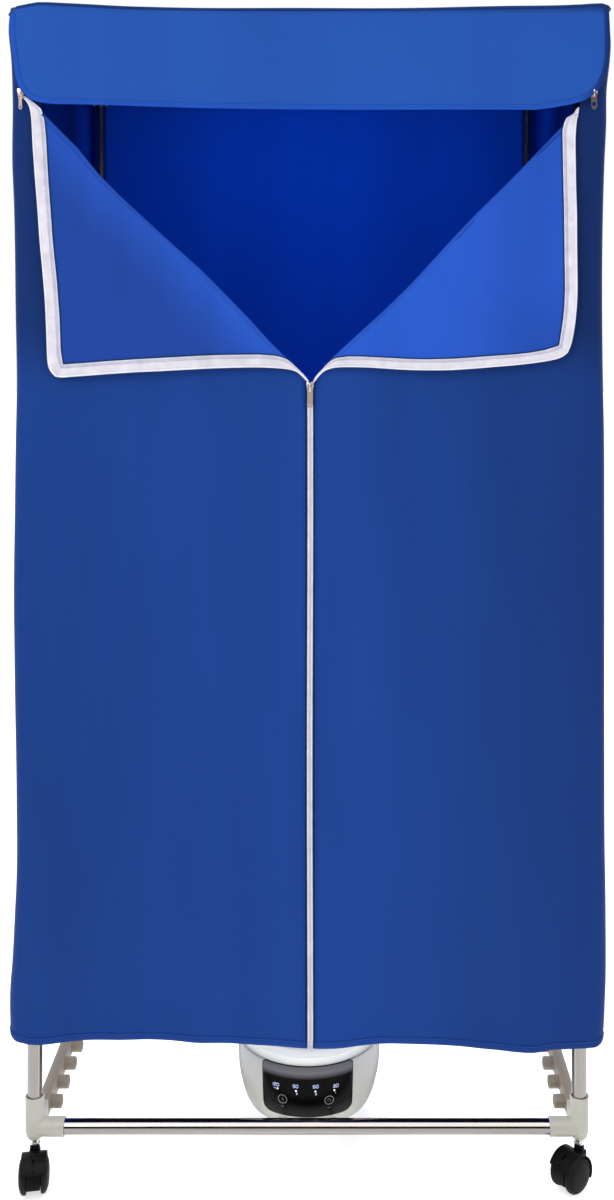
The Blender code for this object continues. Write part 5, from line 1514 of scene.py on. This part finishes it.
fins = Shape()
for y in (-0.0245, -0.0115, 0.0, 0.0115, 0.0245):
    fins.box((-0.0828, UNIT_Y + y - 0.0014, 0.1121), (0.0828, UNIT_Y + y + 0.0014, 0.1279), 0, 0.0004)
for x in (-0.0795, 0.0795):
    fins.box((x - 0.0034, UNIT_Y - 0.0259, 0.1120), (x + 0.0034, UNIT_Y + 0.0259, 0.1280), 0, 0.0008)
for k in range(60):
    x = -0.0745 + 0.149 * k / 59
    fins.box((x - 0.0003, UNIT_Y - 0.0240, 0.1135), (x + 0.0003, UNIT_Y + 0.0240, 0.1265), 0)
fins.make("heating_fins", [FINS], "frame", ["ptc_heater"], "ptc")
board = Shape().box((-0.0320, UNIT_Y - 0.0780, 0.0800), (0.0320, UNIT_Y - 0.0764, 0.1200), 0, 0.0003)
for x, z, w, h in ((-0.018, 0.108, 0.006, 0.005), (0.004, 0.106, 0.009, 0.007), (0.020, 0.092, 0.004, 0.006), (-0.012, 0.089, 0.003, 0.003)):
    board.box((x - w / 2, UNIT_Y - 0.0764, z - h / 2), (x + w / 2, UNIT_Y - 0.0744, z + h / 2), 1, 0.0003)
board.make("circuit_board", [BOARD, BLACK], "frame", ["control_board"], "board")
gland = Shape().lathe([(0.0, -0.0060), (0.0054, -0.0060), (0.0054, 0.0002), (0.0088, 0.0004), (0.0092, 0.0010), (0.0090, 0.0030),
                       (0.0062, 0.0038), (0.0058, 0.0060), (0.0062, 0.0064), (0.0056, 0.0080), (0.0060, 0.0084), (0.0052, 0.0105),
                       (0.0055, 0.0109), (0.0047, 0.0140), (0.0044, 0.0150), (0.0, 0.0150)],
                      (0, UNIT_Y + 0.0950, 0.1000), (0, 1, 0), 32)
gland.make("cord_entry", [RUBBER], "frame", ["cord_gland"], "gland")

# ------------------------------------------------------------------ camera, light
cam_data = bpy.data.cameras.new("camera")
cam_data.lens, cam_data.sensor_width = 37.914, 36.0
cam_data.shift_x, cam_data.shift_y = -0.02667, -0.2133
cam_data.clip_start, cam_data.clip_end = 0.05, 60.0
camera = bpy.data.objects.new("camera", cam_data)
camera.location = (0.0405, -1.8200, 1.0614)
camera.rotation_euler = (math.radians(90), 0, 0)
bpy.context.scene.collection.objects.link(camera)
bpy.context.scene.camera = camera


def area_light(name, location, target, size, power, colour=(1, 1, 1)):
    data = bpy.data.lights.new(name, "AREA")
    data.shape, data.size, data.size_y = "RECTANGLE", size[0], size[1]
    data.energy, data.color = power, colour
    obj = bpy.data.objects.new(name, data)
    obj.location = location
    obj.rotation_euler = (Vector(target) - Vector(location)).to_track_quat("-Z", "Y").to_euler()
    bpy.context.scene.collection.objects.link(obj)
    return obj


area_light("key", (-1.5, -3.0, 2.9), (0, -0.1, 0.8), (1.8, 1.8), 32.0)
area_light("fill", (2.2, -2.6, 1.4), (0, 0, 0.7), (1.6, 2.2), 9.0)
area_light("back", (0.6, 2.6, 2.4), (0, 0.2, 0.8), (2.0, 1.4), 24.0)
inner = area_light("chamber", (0.04, -0.10, 1.440), (0.05, 0.14, 1.10), (0.56, 0.10), 1.1)
under = area_light("under_cover", (0.0, -0.120, 0.400), (0.0, -0.120, 0.10), (0.30, 0.16), 1.85)
for lamp in (inner, under):
    lamp.visible_camera = False
    lamp.visible_glossy = False

world = bpy.data.worlds.new("studio")
world.use_nodes = True
bpy.context.scene.world = world
sky = world.node_tree
background = sky.nodes["Background"]
rays = sky.nodes.new("ShaderNodeLightPath")
where = node(sky, "SeparateXYZ", {"Vector": node(sky, "TexCoord").outputs["Generated"]})
# mirrors see a studio: a dark band at eye level in front, bright walls above
front = remap(sky, where.outputs["Y"], -0.05, -0.30, 0.0, 1.0)
band = math_node(sky, "MULTIPLY", remap(sky, where.outputs["Z"], -0.02, 0.03, 0.0, 1.0),
                 remap(sky, where.outputs["Z"], 0.50, 0.42, 0.0, 1.0))
dark = math_node(sky, "MULTIPLY", front, band)
overhead = remap(sky, where.outputs["Z"], 0.50, 0.56, 0.95, 3.1)
mirror = math_node(sky, "MULTIPLY", overhead, remap(sky, dark, 0.0, 1.0, 1.0, 0.03))
soft = remap(sky, where.outputs["Z"], -0.4, 1.0, 0.46, 0.66)
glossy_on = rays.outputs["Is Glossy Ray"]
level = math_node(sky, "ADD", math_node(sky, "MULTIPLY", mirror, glossy_on),
                  math_node(sky, "MULTIPLY", soft, math_node(sky, "SUBTRACT", 1.0, glossy_on)))
level = math_node(sky, "MAXIMUM", level, math_node(sky, "MULTIPLY", rays.outputs["Is Camera Ray"], 1.0))
sky.links.new(level, background.inputs["Strength"])
background.inputs["Color"].default_value = (1.0, 1.0, 1.0, 1.0)

floor_mesh = bpy.data.meshes.new("studio_floor")
floor_mesh.from_pydata([(-14, -8, 0), (14, -8, 0), (14, 26, 0), (-14, 26, 0)], [], [(0, 1, 2, 3)])
floor = bpy.data.objects.new("studio_floor", floor_mesh)
floor.location = (0, 0, -0.0002)
bpy.context.scene.collection.objects.link(floor)
floor_mat = plastic("floor_paint", (0.90, 0.90, 0.90), 0.85, 40.0, 0.02, 0.01)
floor_shader = floor_mat.node_tree.nodes["Principled BSDF"]
floor_shader.inputs["Emission Color"].default_value = (1.0, 1.0, 1.0, 1.0)
floor_shader.inputs["Emission Strength"].default_value = 0.60
floor_mesh.materials.append(floor_mat)

# two black studio flags, seen only in reflections: they give the polished tubes their dark lines
flag_mesh = bpy.data.meshes.new("studio_flag")
flag_mesh.from_pydata([(-0.20, -0.165, 0.0004), (0.20, -0.165, 0.0004), (0.20, 0.16, 0.0004), (-0.20, 0.16, 0.0004),
                       (-0.32, -0.205, 0.182), (0.32, -0.205, 0.182), (0.32, 0.200, 0.182), (-0.32, 0.200, 0.182)],
                      [], [(0, 1, 2, 3), (4, 5, 6, 7)])
flag = bpy.data.objects.new("studio_flag", flag_mesh)
bpy.context.scene.collection.objects.link(flag)
flag_mesh.materials.append(plastic("flag_black", (0.012, 0.009, 0.008), 0.90, 40.0, 0.02, 0.01, Specular_IOR_Level=0.0))
flag.visible_camera = flag.visible_diffuse = flag.visible_shadow = flag.visible_transmission = False

bpy.context.scene.view_settings.view_transform = "Standard"
